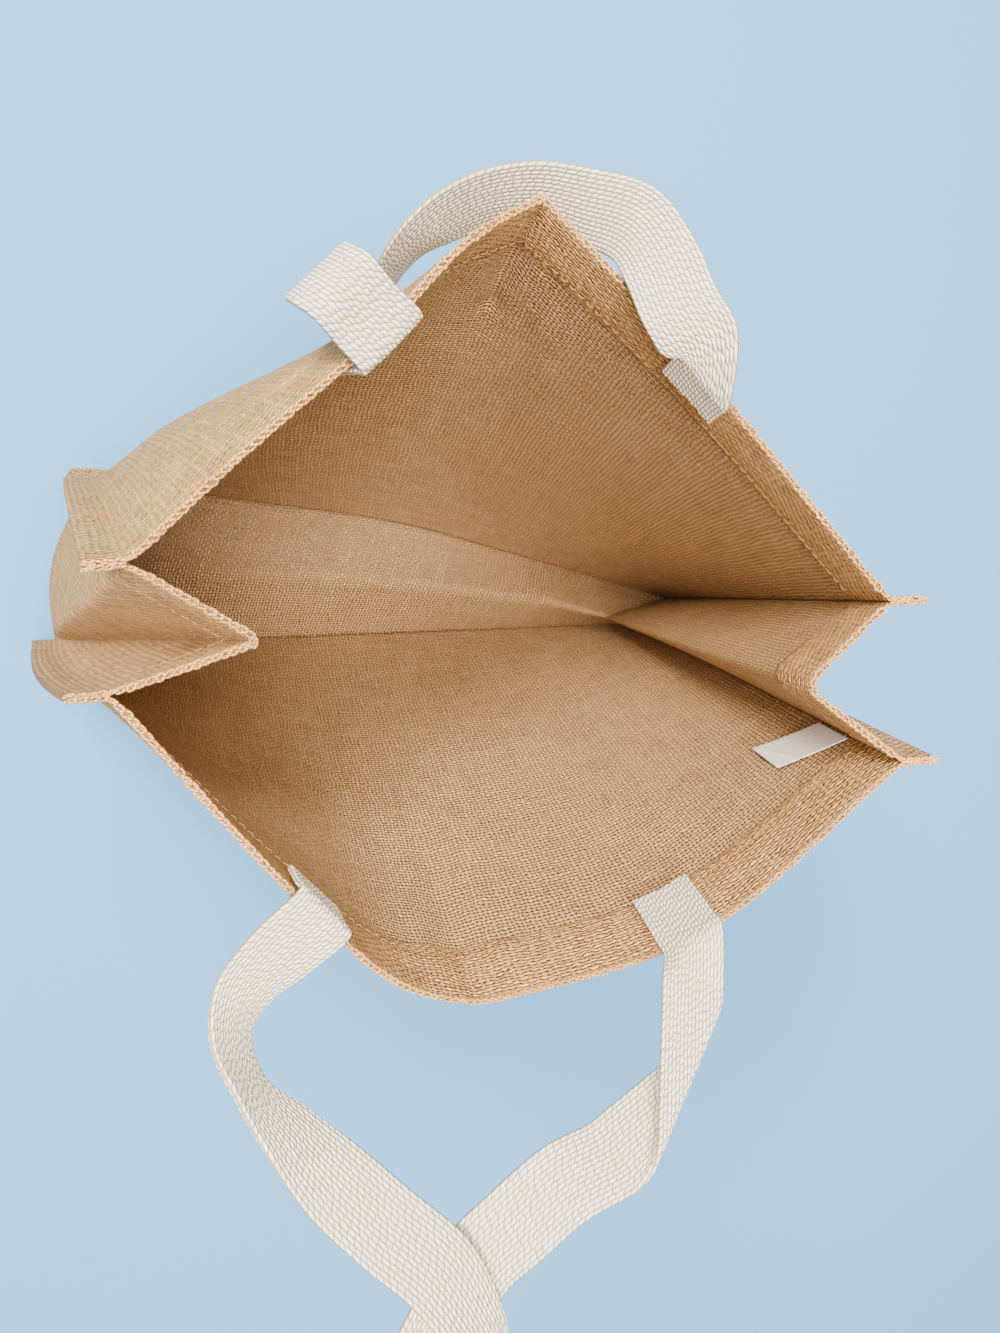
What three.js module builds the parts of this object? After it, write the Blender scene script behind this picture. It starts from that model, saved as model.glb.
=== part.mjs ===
// A jute tote bag standing open on its bottom seams. Two panels are sewn to one gusset strip that
// runs down a side, along the bottom and up the other side, with every seam turned outwards. Two
// cotton web handles are sewn inside the hem, and a care label hangs from one side seam.
// Millimetres, Z up: X runs along the panels, -Y is the front, and the floor is at Z = 0.
import * as THREE from "three";

// Evenly spaced values from one end to the other, both included
function spread(from, to, steps) {
  return Array.from({ length: steps + 1 }, (_, i) => from * (1 - i / steps) + to * (i / steps));
}

// Sizes of the cut pieces
const PANEL_WIDTH = 380; // between the two side seams
const PANEL_HEIGHT = 320; // bottom seam to mouth
const STRIP_WIDTH = 100; // gusset strip between its two seams
const SEAM_MARGIN = 13; // cloth that stands outside each seam
const JUTE = 2; // thickness of the cloth
const HEM_DEPTH = 30; // mouth turned over to the inside
const HEM_STEP = 1; // height over which the hem's raw edge steps down
const HEM_CLEAR = 8; // the turned layer stops this far from a side seam
const WEB_WIDTH = 26;
const WEB_THICKNESS = 2.4;
const WEB_SEWN = 28; // length of a handle end sewn to the hem
const WEB_SEWN_SHORT = 13; // the same at the back handle's right end and the front one's left end
const WEB_TOP = 1; // its last section below the mouth
const WEB_RISE = 5; // a handle stands straight above the mouth for this length
const LABEL_LENGTH = 28;
const LABEL_WIDTH = 23;
const LABEL_THICKNESS = 1;

// How the pieces are put together
const GAP = 0.5; // air between two sewn layers
const WEB_GAP = 0.7; // air between the hem and a sewn handle end
const CORNER_GAP = 2.8; // more air between the layers where two seams meet at a bottom corner
const FOOT_SPLAY = THREE.MathUtils.degToRad(30); // outward lean of the bottom seam margins
const FOOT_RISE = SEAM_MARGIN * Math.cos(FOOT_SPLAY); // height of the bottom seams
const HANDLE_INSET = 103; // side seam to the middle of a handle end
const LABEL_DROP = 34.5; // mouth to the label's upper edge
const LABEL_CLEAR = 2; // side seam to the label's sewn end
const LABEL_TILT = 0.5; // fall of the label towards its free end
const LABEL_CURL = 1.5; // lift of the label's free end
const FOLD_EASE = 0.86; // share of a sharp fold's depth that the strip's middle crease reaches
const RIDGE_START = 120; // the bottom crease rises over this length from the flat left corner
const LEFT_BULGE = 11; // how far the flat left corner stands out at the floor
const CREASE_ROUND = 7; // cloth on each side of a crease that is bent round it
const CORNER_STEP = 4; // the bend at a bottom corner starts this far from the corner
const CORNER_REACH = 2.2; // fold depths over which the right bottom corner draws the crease in
const MITRE_LIMIT = 2.2; // longest offset at a sharp crease, in cloth thicknesses
const SHORT_STEP = 0.01; // share of the panel's height over which a slope is taken
const FLOOR_TOUCH = 1e-6; // a middle point this low lies on the floor
const HEM_FACE = JUTE * 1.5; // middle of the cloth to the inner face of the turned layer
const HEM_STEPS = 2; // grid rows in the hem
const WALL_STEPS = 12; // grid rows from the hem to the bottom seam
const HALF_PANEL_STEPS = 13; // grid columns from a side of the hem to a panel's middle
const BOTTOM_STEPS = 26; // grid rows of the strip along the bottom
const STRIP_STEPS = 10; // grid columns across the strip's turned layer
const ROUND_STEPS = 4; // points over which a crease is rounded
const LABEL_ROWS = 2;
const LABEL_COLUMNS = 5;
const HEM_COLUMN = 3; // the strip's grid column where its turned layer starts
const WEB_COLUMNS = spread(-1, 1, 8); // points across a web, in half widths
const WEB_MIDDLE = 4; // the middle one of them
const WEB_STEPS = 2; // grid rows from one section of a handle to the next
const CENTRE_X = 2.04; // middle of the whole bag in the frame of the tables below
const CENTRE_Y = -52.09;

// Threads that run up a panel: where each starts at the bottom seam, how far it bellies out of a
// straight line half-way up, where it ends at the mouth, and how sharply the cloth is creased there.
function thread(across, footX, footY, bellyX, bellyY, mouthX, mouthY, mouthZ, crease = 0) {
  return { across, footX, footY, bellyX, bellyY, mouthX, mouthY, mouthZ, crease };
}
// Columns: across, footX, footY, bellyX, bellyY, mouthX, mouthY, mouthZ, crease
const BACK_THREADS = [
  thread(0, -171, 73, -2, 8, -98, 34, 319),
  thread(50, -120, 66, -14, 21, -60, 68, 321),
  thread(103, -68, 58, -16, 19, -17, 104, 322),
  thread(146, -26, 52, -8, 13, 12.5, 134.5, 315),
  thread(190, 18, 44, 0, 6, 43, 155, 300, 0.9),
  thread(277, 101, 20, 4, 5, 97, 93, 318),
  thread(380, 199, -10, 0, 0, 166, 14, 326),
];
const FRONT_THREADS = [
  thread(0, -197, -28, -5, -3, -108, -11, 311),
  thread(103, -97, -29, -4, -6, -46, -89, 319),
  thread(150, -53, -29, -2, -6, -16, -125, 307),
  thread(190, -13, -29, 0, -3, 14, -140, 299, 0.5),
  thread(212, 9, -29, 1, -3, 34, -136, 303),
  thread(277, 74, -29, 2, -4, 96, -115, 315),
  thread(380, 176, -29, 0, 0, 173, -48, 328),
];
const BACK = { threads: BACK_THREADS, outward: 1 };
const FRONT = { threads: FRONT_THREADS, outward: -1 };
const LEFT_CREASE_MOUTH = { x: -60, y: 5, z: 302 }; // where the left side's crease meets the mouth

// Middle of each handle from its left end to its right end, with the way its width points there:
// turn is the bearing from +X and lift the angle above the level, both in degrees.
function station(x, y, z, turn, lift) {
  return { x, y, z, turn, lift };
}
// Columns: x, y, z, turn, lift
const BACK_HANDLE = [
  station(-21, 108, 331, 42, 0),
  station(-28, 115, 335, 42, 0),
  station(-33, 119, 331, 42, 0),
  station(-35, 123, 318, 42, 0),
  station(-32, 127, 298, 44, 0),
  station(-29, 131, 275, 48, 0),
  station(-27, 136, 252, 54, 0),
  station(-26, 142, 228, 62, 0),
  station(-25, 147, 206, 68, 0),
  station(-25, 151, 184, 72, 0),
  station(-24, 154, 163, 75, 0),
  station(-18, 155, 149, 76, 0),
  station(-8, 153, 148, 76, 0),
  station(-2, 150, 161, 74, 0),
  station(-1, 147, 181, 68, -4),
  station(-1, 145, 203, 56, -10),
  station(-1, 145, 223, 42, -20),
  station(1, 148, 241, 22, -36),
  station(7, 152, 256, -10, -58),
  station(17, 157, 267, -40, -58),
  station(30, 160, 278, -55, -56),
  station(45, 159, 287, -80, -55),
  station(59, 153, 296, -104, -50),
  station(72, 143, 312, -130, -36),
  station(78, 129, 321, -150, -26),
  station(83, 114, 326, 172, -26),
  station(90, 102, 328, 140, -18),
];
const FRONT_HANDLE = [
  station(-57, -99, 326, -54, -12),
  station(-69, -111, 326, -53, -29),
  station(-74, -125, 329, -53, -47),
  station(-69, -139, 336, -50, -60),
  station(-57, -152, 344, -18, -49),
  station(-43, -166, 352, 15, -34),
  station(-27, -179, 361, 30, -27),
  station(-10, -192, 370, 34, -38),
  station(0, -207, 377, 25, -55),
  station(7, -223, 380, 12, -70),
  station(12, -240, 381, 0, -82),
  station(11, -257, 379, 0, -88),
  station(1, -269, 376, 0, -90),
  station(-14, -270, 372, 0, -88),
  station(-25, -259, 368, 0, -75),
  station(-25, -243, 364, 0, -50),
  station(-17, -228, 361, -15, -20),
  station(-6, -215, 359, -33, 6),
  station(3, -199, 359, -45, 22),
  station(16, -187, 360, -54, 30),
  station(33, -175, 359, -59, 34),
];
// A soft fold turns the front handle over before it reaches its right end: the middle of the fold, the
// way the width points there, the slant of the fold across the web, and the angle and radius of its bend.
const FRONT_FOLD = { x: 84, y: -146, z: 344, turn: 175, lift: 13, slant: 25, bend: 155, radius: 3.4 };
const FOLD_RUN = { from: 45, to: -27, steps: 12 }; // stations along the web, measured from the fold

// Colours and finishes
const JUTE_OUTSIDE = { color: "#c79a6b", roughness: 0.9, metalness: 0 };
const JUTE_STRIP = { color: "#c4976a", roughness: 0.9, metalness: 0 };
const COTTON_WEB = { color: "#e9e2d6", roughness: 0.85, metalness: 0 };
const LABEL_SATIN = { color: "#f2efec", roughness: 0.5, metalness: 0 };

// Point on one thread, from 0 at the bottom seam to 1 at the mouth
function threadPoint(thread, up) {
  const belly = 4 * up * (1 - up);
  return new THREE.Vector3(
    thread.footX * (1 - up) + thread.mouthX * up + thread.bellyX * belly,
    thread.footY * (1 - up) + thread.mouthY * up + thread.bellyY * belly,
    FOOT_RISE * (1 - up) + thread.mouthZ * up,
  );
}

// Slope of the cloth at a thread, turned towards the slope of one neighbouring span at a crease
function threadSlope(points, threads, index, span, up) {
  const slopeOf = (i) =>
    points[i + 1].clone().sub(points[i]).divideScalar(threads[i + 1].across - threads[i].across);
  const before = slopeOf(Math.max(index - 1, 0));
  const after = slopeOf(Math.min(index, threads.length - 2));
  const smooth = before.lerp(after, 0.5);
  return smooth.lerp(slopeOf(span), threads[index].crease * up);
}

// Point of a panel between its side seams
function panelPoint(panel, across, up) {
  const { threads } = panel;
  const points = threads.map((thread) => threadPoint(thread, up));
  let span = 0;
  while (span < threads.length - 2 && across > threads[span + 1].across) span += 1;
  const length = threads[span + 1].across - threads[span].across;
  const t = (across - threads[span].across) / length;
  const startSlope = threadSlope(points, threads, span, span, up).multiplyScalar(length);
  const endSlope = threadSlope(points, threads, span + 1, span, up).multiplyScalar(length);
  const rise = t * t * (3 - 2 * t);
  return points[span]
    .clone()
    .lerp(points[span + 1], rise)
    .addScaledVector(startSlope, t * (1 - t) * (1 - t))
    .addScaledVector(endSlope, -t * t * (1 - t));
}

// Direction in which a margin stands out of a side seam: level with X, square to the seam
function marginDirection(panel, side, up) {
  const level = THREE.MathUtils.clamp(up, SHORT_STEP, 1 - SHORT_STEP);
  const seam = panelPoint(panel, side, level + SHORT_STEP).sub(panelPoint(panel, side, level - SHORT_STEP));
  seam.normalize();
  const out = new THREE.Vector3(side > 0 ? 1 : -1, 0, 0);
  return out.addScaledVector(seam, -out.dot(seam)).normalize();
}

// Direction in which a margin leans out of the bottom seam, down to the floor
function footDirection(panel, across) {
  const side = THREE.MathUtils.clamp(across, 1, PANEL_WIDTH - 1);
  const seam = panelPoint(panel, side + 1, 0).sub(panelPoint(panel, side - 1, 0)).normalize();
  const lean = Math.sin(FOOT_SPLAY) * panel.outward;
  return new THREE.Vector3(-seam.y * lean, seam.x * lean, -Math.cos(FOOT_SPLAY));
}

// Point of a panel with its seam margins
function clothPoint(panel, across, up, below = 0) {
  const side = THREE.MathUtils.clamp(across, 0, PANEL_WIDTH);
  const point = panelPoint(panel, side, up);
  if (across !== side) point.addScaledVector(marginDirection(panel, side, up), Math.abs(across - side));
  if (below > 0) point.addScaledVector(footDirection(panel, across), below).setZ(0);
  return point;
}

// Direction across a panel's cloth, into the bag
function clothNormal(panel, across, up) {
  const side = THREE.MathUtils.clamp(across, 1, PANEL_WIDTH - 1);
  const along = panelPoint(panel, side + 1, up).sub(panelPoint(panel, side - 1, up));
  const level = THREE.MathUtils.clamp(up, SHORT_STEP, 1 - SHORT_STEP);
  const rise = panelPoint(panel, side, level + SHORT_STEP).sub(panelPoint(panel, side, level - SHORT_STEP));
  return along.cross(rise).normalize().multiplyScalar(panel.outward);
}

// Point at a distance inside a panel's middle surface
function insidePoint(panel, distance, across, up) {
  return panelPoint(panel, across, up).addScaledVector(clothNormal(panel, across, up), distance);
}

// Offset direction at a grid point: it keeps the cloth's thickness on both sides of a crease
function mitre(rows, i, j) {
  const normals = [];
  for (const a of [i - 1, i]) {
    for (const b of [j - 1, j]) {
      if (a < 0 || b < 0 || a + 1 >= rows.length || b + 1 >= rows[0].length) continue;
      const diagonal = rows[a + 1][b + 1].clone().sub(rows[a][b]);
      const other = rows[a + 1][b].clone().sub(rows[a][b + 1]);
      normals.push(diagonal.cross(other).normalize());
    }
  }
  const mean = normals.reduce((sum, normal) => sum.add(normal), new THREE.Vector3()).normalize();
  const lean = normals.reduce((sum, normal) => sum + normal.dot(mean), 0) / normals.length;
  return mean.multiplyScalar(Math.min(1 / lean, MITRE_LIMIT));
}

// Closed solid of a sheet: two skins at their own distances from a grid of middle points, and a rim.
// Middle points on the floor keep both skins on the floor.
function sheetGeometry(rows, frontDistance, backDistance) {
  const count = rows[0].length;
  const front = [];
  const back = [];
  rows.forEach((row, i) =>
    row.forEach((point, j) => {
      const normal = mitre(rows, i, j);
      const onFloor = point.z < FLOOR_TOUCH;
      if (onFloor) normal.setZ(0);
      front.push(point.clone().addScaledVector(normal, frontDistance(i, j)));
      back.push(point.clone().addScaledVector(normal, -backDistance(i, j)));
      if (onFloor) [front.at(-1), back.at(-1)].forEach((skin) => skin.setZ(0));
    }),
  );
  const triangles = [];
  const quad = (a, b, c, d) => triangles.push(a, c, b, a, d, c);
  const offset = front.length;
  for (let i = 0; i + 1 < rows.length; i += 1) {
    for (let j = 0; j + 1 < count; j += 1) {
      const k = i * count + j;
      quad(k, k + count, k + count + 1, k + 1);
      quad(offset + k, offset + k + 1, offset + k + count + 1, offset + k + count);
    }
  }
  const rim = [];
  for (let j = 0; j < count - 1; j += 1) rim.push(j);
  for (let i = 0; i < rows.length - 1; i += 1) rim.push(i * count + count - 1);
  for (let j = count - 1; j > 0; j -= 1) rim.push((rows.length - 1) * count + j);
  for (let i = rows.length - 1; i > 0; i -= 1) rim.push(i * count);
  rim.forEach((k, n) => {
    const next = rim[(n + 1) % rim.length];
    quad(k, next, offset + next, offset + k);
  });
  const geometry = new THREE.BufferGeometry();
  geometry.setFromPoints([...front, ...back]);
  geometry.setIndex(triangles);
  geometry.computeVertexNormals();
  return geometry;
}

function piece(name, geometry, finish) {
  const mesh = new THREE.Mesh(geometry, new THREE.MeshStandardMaterial(finish));
  mesh.name = name;
  return mesh;
}

// Heights of the grid rows of a wall, from the mouth down to the bottom seam
const HEM_ROWS = spread(1, 1 - HEM_DEPTH / PANEL_HEIGHT, HEM_STEPS);
const BELOW_HEM = 1 - (HEM_DEPTH + HEM_STEP) / PANEL_HEIGHT;
const WALL_ROWS = [...HEM_ROWS, ...spread(BELOW_HEM, 0, WALL_STEPS)];
const inHem = (row) => row < HEM_ROWS.length;

// A panel: the cut sheet with its margins, and the hem as a second layer inside the mouth
function panelGeometry(panel) {
  const half = PANEL_WIDTH / 2;
  const left = [-SEAM_MARGIN, 0, HEM_CLEAR - HEM_STEP, ...spread(HEM_CLEAR, half, HALF_PANEL_STEPS)];
  const columns = [...left, ...left.slice(0, -1).reverse().map((across) => PANEL_WIDTH - across)];
  const places = WALL_ROWS.map((up) => ({ up, below: 0 }));
  places.push({ up: 0, below: SEAM_MARGIN });
  const rows = places.map(({ up, below }) => columns.map((across) => clothPoint(panel, across, up, below)));
  const turned = (i, j) => inHem(i) && columns[j] >= HEM_CLEAR && columns[j] <= PANEL_WIDTH - HEM_CLEAR;
  const inside = (i, j) => (turned(i, j) ? HEM_FACE : JUTE / 2);
  const outside = () => JUTE / 2;
  return panel.outward > 0 ? sheetGeometry(rows, outside, inside) : sheetGeometry(rows, inside, outside);
}

// The strip's two edge points at a panel, one on the seam and one at the tip of the margin. The strip's
// margin lies against the inner side of the panel's margin.
function stripEdge(panel, across, up, sideMargin, footMargin) {
  const seam = panelPoint(panel, across, up);
  const faces = [];
  const tip = new THREE.Vector3();
  const inner = clothNormal(panel, across, up);
  const face = (out, along) => {
    const normal = out.clone().cross(along).normalize();
    faces.push(normal.multiplyScalar(Math.sign(normal.dot(inner))));
  };
  if (sideMargin > 0) {
    const out = marginDirection(panel, across, up);
    face(out, panelPoint(panel, across, up + SHORT_STEP).sub(seam));
    tip.addScaledVector(out, sideMargin);
  }
  if (footMargin > 0) {
    const out = footDirection(panel, across);
    const side = THREE.MathUtils.clamp(across, 1, PANEL_WIDTH - 1);
    face(out, panelPoint(panel, side + 1, up).sub(panelPoint(panel, side - 1, up)));
    tip.addScaledVector(out, footMargin);
  }
  const normal = faces.reduce((sum, each) => sum.add(each), new THREE.Vector3()).normalize();
  const acrossCorner = Math.min(across, PANEL_WIDTH - across) <= CORNER_STEP;
  const atCorner = acrossCorner && up * PANEL_HEIGHT <= CORNER_STEP;
  const layers = JUTE + GAP + (atCorner ? CORNER_GAP : 0);
  seam.addScaledVector(normal, layers / normal.dot(faces[0]));
  tip.add(seam);
  if (footMargin > 0) tip.setZ(0);
  return { seam, tip };
}

// Heights of the strip's rows up a side and their places along the bottom, closer together at a corner
const SIDE_ROWS = [...WALL_ROWS.slice(0, -1), CORNER_STEP / PANEL_HEIGHT, 0];
const BOTTOM_SPREAD = spread(0, PANEL_WIDTH, BOTTOM_STEPS).slice(1, -1);
const BOTTOM_ROWS = [CORNER_STEP, ...BOTTOM_SPREAD, PANEL_WIDTH - CORNER_STEP];

// Distances of the strip's grid columns from its back seam
const STRIP_WALL = spread(HEM_CLEAR, STRIP_WIDTH - HEM_CLEAR, STRIP_STEPS);
const STRIP_EDGE = HEM_CLEAR - HEM_STEP;
const STRIP_COLUMNS = [STRIP_EDGE, ...STRIP_WALL, STRIP_WIDTH - STRIP_EDGE];

// Point at a distance across the strip, straight from each crease to the next
function straightPoint(creases, across) {
  let i = 0;
  while (i < creases.length - 2 && across > creases[i + 1].across) i += 1;
  const length = creases[i + 1].across - creases[i].across;
  const t = length > 0 ? (across - creases[i].across) / length : 0;
  return creases[i].point.clone().lerp(creases[i + 1].point, t);
}

// The same with every crease rounded
function roundedPoint(creases, across) {
  const reach = Math.min(CREASE_ROUND, across, STRIP_WIDTH - across);
  const points = spread(-reach, reach, ROUND_STEPS).map((shift) => straightPoint(creases, across + shift));
  return points.reduce((sum, point) => sum.add(point)).divideScalar(points.length);
}

// One section across the gusset strip, from the back margin over its creases to the front margin
function stripSection(back, front, creases) {
  const seams = [{ across: 0, point: back.seam }, ...creases, { across: STRIP_WIDTH, point: front.seam }];
  const wall = STRIP_COLUMNS.map((across) => roundedPoint(seams, across));
  return [back.tip, back.seam, ...wall, front.seam, front.tip];
}

// The strip's middle crease between two seams that stand closer together than the strip is wide
function middleCrease({ back, front, ease, inward, along, cornerDistance }) {
  const half = STRIP_WIDTH / 2;
  const reach = back.seam.distanceTo(front.seam) / 2;
  const depth = Math.sqrt(Math.max(half * half - reach * reach, 0)) * ease;
  const drawn = Math.max(depth - cornerDistance / CORNER_REACH, 0);
  const point = back.seam.clone().lerp(front.seam, 0.5);
  return { across: half, point: point.addScaledVector(inward, depth).addScaledVector(along, drawn) };
}

// Sections of the strip down the left side. It is folded in at the mouth, and its creases run down to
// the front bottom corner: one from the middle of the mouth and one from the back seam.
function leftSections() {
  const corner = stripEdge(FRONT, 0, 0, SEAM_MARGIN, SEAM_MARGIN).seam;
  const backMouth = stripEdge(BACK, 0, 1, SEAM_MARGIN, 0).seam;
  const creaseMouth = new THREE.Vector3(LEFT_CREASE_MOUTH.x, LEFT_CREASE_MOUTH.y, LEFT_CREASE_MOUTH.z);
  return SIDE_ROWS.map((up) => {
    const footMargin = up > 0 ? 0 : SEAM_MARGIN;
    const slanted = { across: STRIP_WIDTH * (1 - up), point: corner.clone().lerp(backMouth, up) };
    const middle = { across: STRIP_WIDTH * (1 - up / 2), point: corner.clone().lerp(creaseMouth, up) };
    const [back, front] = [BACK, FRONT].map((panel) => stripEdge(panel, 0, up, SEAM_MARGIN, footMargin));
    const section = stripSection(back, front, [slanted, middle]);
    const bulge = LEFT_BULGE * (1 - up) ** 2;
    STRIP_COLUMNS.forEach((across, j) => {
      section[j + 2].x -= bulge * Math.sin((Math.PI * across) / STRIP_WIDTH);
    });
    return section;
  });
}

// Sections of the strip along the bottom, between its two corners: a ridge that rises to the right
function bottomSections() {
  const inward = new THREE.Vector3(0, 0, 1);
  const along = new THREE.Vector3(-1, 0, 0);
  return BOTTOM_ROWS.map((across) => {
    const [back, front] = [BACK, FRONT].map((panel) => stripEdge(panel, across, 0, 0, SEAM_MARGIN));
    const ease = FOLD_EASE * THREE.MathUtils.smoothstep(across, 0, RIDGE_START);
    const cornerDistance = PANEL_WIDTH - across;
    return stripSection(back, front, [middleCrease({ back, front, ease, inward, along, cornerDistance })]);
  });
}

// Sections of the strip up the right side, folded in all the way
function rightSections() {
  const side = (panel, up) => panelPoint(panel, PANEL_WIDTH, up);
  const along = side(BACK, 1).sub(side(BACK, 0)).add(side(FRONT, 1)).sub(side(FRONT, 0)).normalize();
  const inward = new THREE.Vector3(-1, 0, 0);
  inward.addScaledVector(along, -inward.dot(along)).normalize();
  const rows = [...SIDE_ROWS].reverse();
  return rows.map((up) => {
    const footMargin = up > 0 ? 0 : SEAM_MARGIN;
    const edge = (panel) => stripEdge(panel, PANEL_WIDTH, up, SEAM_MARGIN, footMargin);
    const back = edge(BACK);
    const front = edge(FRONT);
    const ease = FOLD_EASE;
    const cornerDistance = up * PANEL_HEIGHT;
    return stripSection(back, front, [middleCrease({ back, front, ease, inward, along, cornerDistance })]);
  });
}

// The gusset strip: its hem is a second layer inside the mouth at both ends
function stripGeometry() {
  const rows = [...leftSections(), ...bottomSections(), ...rightSections()];
  const last = rows[0].length - 1;
  const turned = (i, j) => inHem(Math.min(i, rows.length - 1 - i)) && Math.min(j, last - j) >= HEM_COLUMN;
  const inside = (i, j) => (turned(i, j) ? HEM_FACE : JUTE / 2);
  return sheetGeometry(rows, inside, () => JUTE / 2);
}

// Straight section across a web, from one edge to the other
function webSection(middle, width) {
  return WEB_COLUMNS.map((side) => middle.clone().addScaledVector(width, (side * WEB_WIDTH) / 2));
}

function direction(turn, lift) {
  const bearing = THREE.MathUtils.degToRad(turn);
  const rise = THREE.MathUtils.degToRad(lift);
  const level = Math.cos(rise);
  return new THREE.Vector3(level * Math.cos(bearing), level * Math.sin(bearing), Math.sin(rise));
}

// Sections where a handle is sewn to the hem, from its raw end up to the mouth
function sewnSections(panel, middle, flip, sewn) {
  const layer = HEM_FACE + WEB_GAP + WEB_THICKNESS / 2;
  return [sewn, sewn / 2, WEB_TOP, -WEB_RISE].map((drop) => {
    const up = 1 - drop / PANEL_HEIGHT;
    return WEB_COLUMNS.map((side) => insidePoint(panel, layer, middle + (flip * side * WEB_WIDTH) / 2, up));
  });
}

// Sections through a slanted fold: the web runs flat to the fold, round its bend and flat away behind it
function foldSections(fold, end) {
  const middle = new THREE.Vector3(fold.x, fold.y, fold.z);
  const away = middle.clone().sub(end).normalize();
  const width = direction(fold.turn, fold.lift);
  width.addScaledVector(away, -width.dot(away)).normalize();
  const face = width.clone().cross(away);
  const slant = THREE.MathUtils.degToRad(fold.slant);
  const bend = THREE.MathUtils.degToRad(fold.bend);
  const axis = away.clone().multiplyScalar(Math.cos(slant)).addScaledVector(width, Math.sin(slant));
  const across = away.clone().multiplyScalar(Math.sin(slant)).addScaledVector(width, -Math.cos(slant));
  return spread(FOLD_RUN.from, FOLD_RUN.to, FOLD_RUN.steps).map((run) =>
    WEB_COLUMNS.map((side) => {
      const out = (side * WEB_WIDTH) / 2;
      const past = Math.sin(slant) * run - Math.cos(slant) * out;
      const angle = THREE.MathUtils.clamp(past / fold.radius, 0, bend);
      const flat = past - angle * fold.radius;
      return middle
        .clone()
        .addScaledVector(axis, Math.cos(slant) * run + Math.sin(slant) * out)
        .addScaledVector(across, fold.radius * Math.sin(angle) + flat * Math.cos(angle))
        .addScaledVector(face, -fold.radius * (1 - Math.cos(angle)) - flat * Math.sin(angle));
    }),
  );
}

// Smooth curve through points along a handle
function smooth(points) {
  const curve = new THREE.CatmullRomCurve3(points, false, "centripetal");
  return spread(0, 1, WEB_STEPS * (points.length - 1)).map((t) => curve.getPoint(t));
}

// A web handle: sewn flat to the hem at both ends, and free along its table in between
function handleGeometry({ panel, table, leftSewn, rightSewn, fold }) {
  const start = sewnSections(panel, HANDLE_INSET, 1, leftSewn);
  const end = sewnSections(panel, PANEL_WIDTH - HANDLE_INSET, -1, rightSewn).reverse();
  const folded = fold ? foldSections(fold, end[0][WEB_MIDDLE]) : [];
  const ends = [start.at(-1), folded[0] ?? end[0]].map((section) => section[WEB_MIDDLE]);
  const middles = [ends[0], ...table.map(({ x, y, z }) => new THREE.Vector3(x, y, z)), ends[1]];
  const free = table.map(({ turn, lift }, i) => {
    const along = middles[i + 2].clone().sub(middles[i]).normalize();
    const width = direction(turn, lift);
    return webSection(middles[i + 1], width.addScaledVector(along, -width.dot(along)).normalize());
  });
  const sections = [...start, ...free, ...folded, ...end];
  const columns = WEB_COLUMNS.map((_, j) => smooth(sections.map((section) => section[j])));
  const rows = columns[0].map((_, i) => columns.map((column) => column[i]));
  const half = () => WEB_THICKNESS / 2;
  return sheetGeometry(rows, half, half);
}

// The care label: caught in the right side seam, lying on the front panel below the hem
function labelGeometry() {
  const rest = JUTE / 2 + GAP + LABEL_THICKNESS / 2;
  const rows = spread(0, LABEL_WIDTH, LABEL_ROWS).map((drop) =>
    spread(0, LABEL_LENGTH, LABEL_COLUMNS).map((out) => {
      const across = PANEL_WIDTH - LABEL_CLEAR - out;
      const up = 1 - (LABEL_DROP + drop + LABEL_TILT * out) / PANEL_HEIGHT;
      const curl = LABEL_CURL * (out / LABEL_LENGTH) ** 2;
      return insidePoint(FRONT, rest + curl, across, up);
    }),
  );
  const half = () => LABEL_THICKNESS / 2;
  return sheetGeometry(rows, half, half);
}

const BACK_LOOP = { panel: BACK, table: BACK_HANDLE, leftSewn: WEB_SEWN, rightSewn: WEB_SEWN_SHORT };
const FRONT_ENDS = { leftSewn: WEB_SEWN_SHORT, rightSewn: WEB_SEWN };
const FRONT_LOOP = { panel: FRONT, table: FRONT_HANDLE, ...FRONT_ENDS, fold: FRONT_FOLD };

const bag = new THREE.Group();
bag.add(
  piece("back_panel", panelGeometry(BACK), JUTE_OUTSIDE),
  piece("front_panel", panelGeometry(FRONT), JUTE_OUTSIDE),
  piece("gusset_strip", stripGeometry(), JUTE_STRIP),
  piece("back_handle", handleGeometry(BACK_LOOP), COTTON_WEB),
  piece("front_handle", handleGeometry(FRONT_LOOP), COTTON_WEB),
  piece("care_label", labelGeometry(), LABEL_SATIN),
);
bag.position.set(-CENTRE_X, -CENTRE_Y, 0);

export default bag;
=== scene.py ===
import math

import bpy
import numpy as np
from mathutils import Matrix


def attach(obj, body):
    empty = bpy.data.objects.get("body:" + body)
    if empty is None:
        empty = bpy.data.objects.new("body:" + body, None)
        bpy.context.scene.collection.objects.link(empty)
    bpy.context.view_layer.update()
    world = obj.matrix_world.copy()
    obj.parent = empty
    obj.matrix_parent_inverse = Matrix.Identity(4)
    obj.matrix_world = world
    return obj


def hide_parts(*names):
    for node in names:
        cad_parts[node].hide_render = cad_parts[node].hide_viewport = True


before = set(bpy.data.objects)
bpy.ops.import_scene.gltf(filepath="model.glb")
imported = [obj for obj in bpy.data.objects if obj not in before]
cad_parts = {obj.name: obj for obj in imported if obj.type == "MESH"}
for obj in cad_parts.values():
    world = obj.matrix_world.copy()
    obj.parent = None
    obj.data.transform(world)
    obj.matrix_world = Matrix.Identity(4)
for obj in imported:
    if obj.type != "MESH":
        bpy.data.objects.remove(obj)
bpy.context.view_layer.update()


# The two panels: plain-woven jute, each one cut rectangle with its mouth turned in and sewn as a hem.
# The seam margins stand outside the bag. A thin film coats the inner face, the outer face is bare yarn.
PANEL_WIDTH = 380  # between the two side seams
PANEL_HEIGHT = 320  # bottom seam to mouth
SEAM_MARGIN = 13
JUTE = 1.4  # thickness of the cloth
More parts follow.
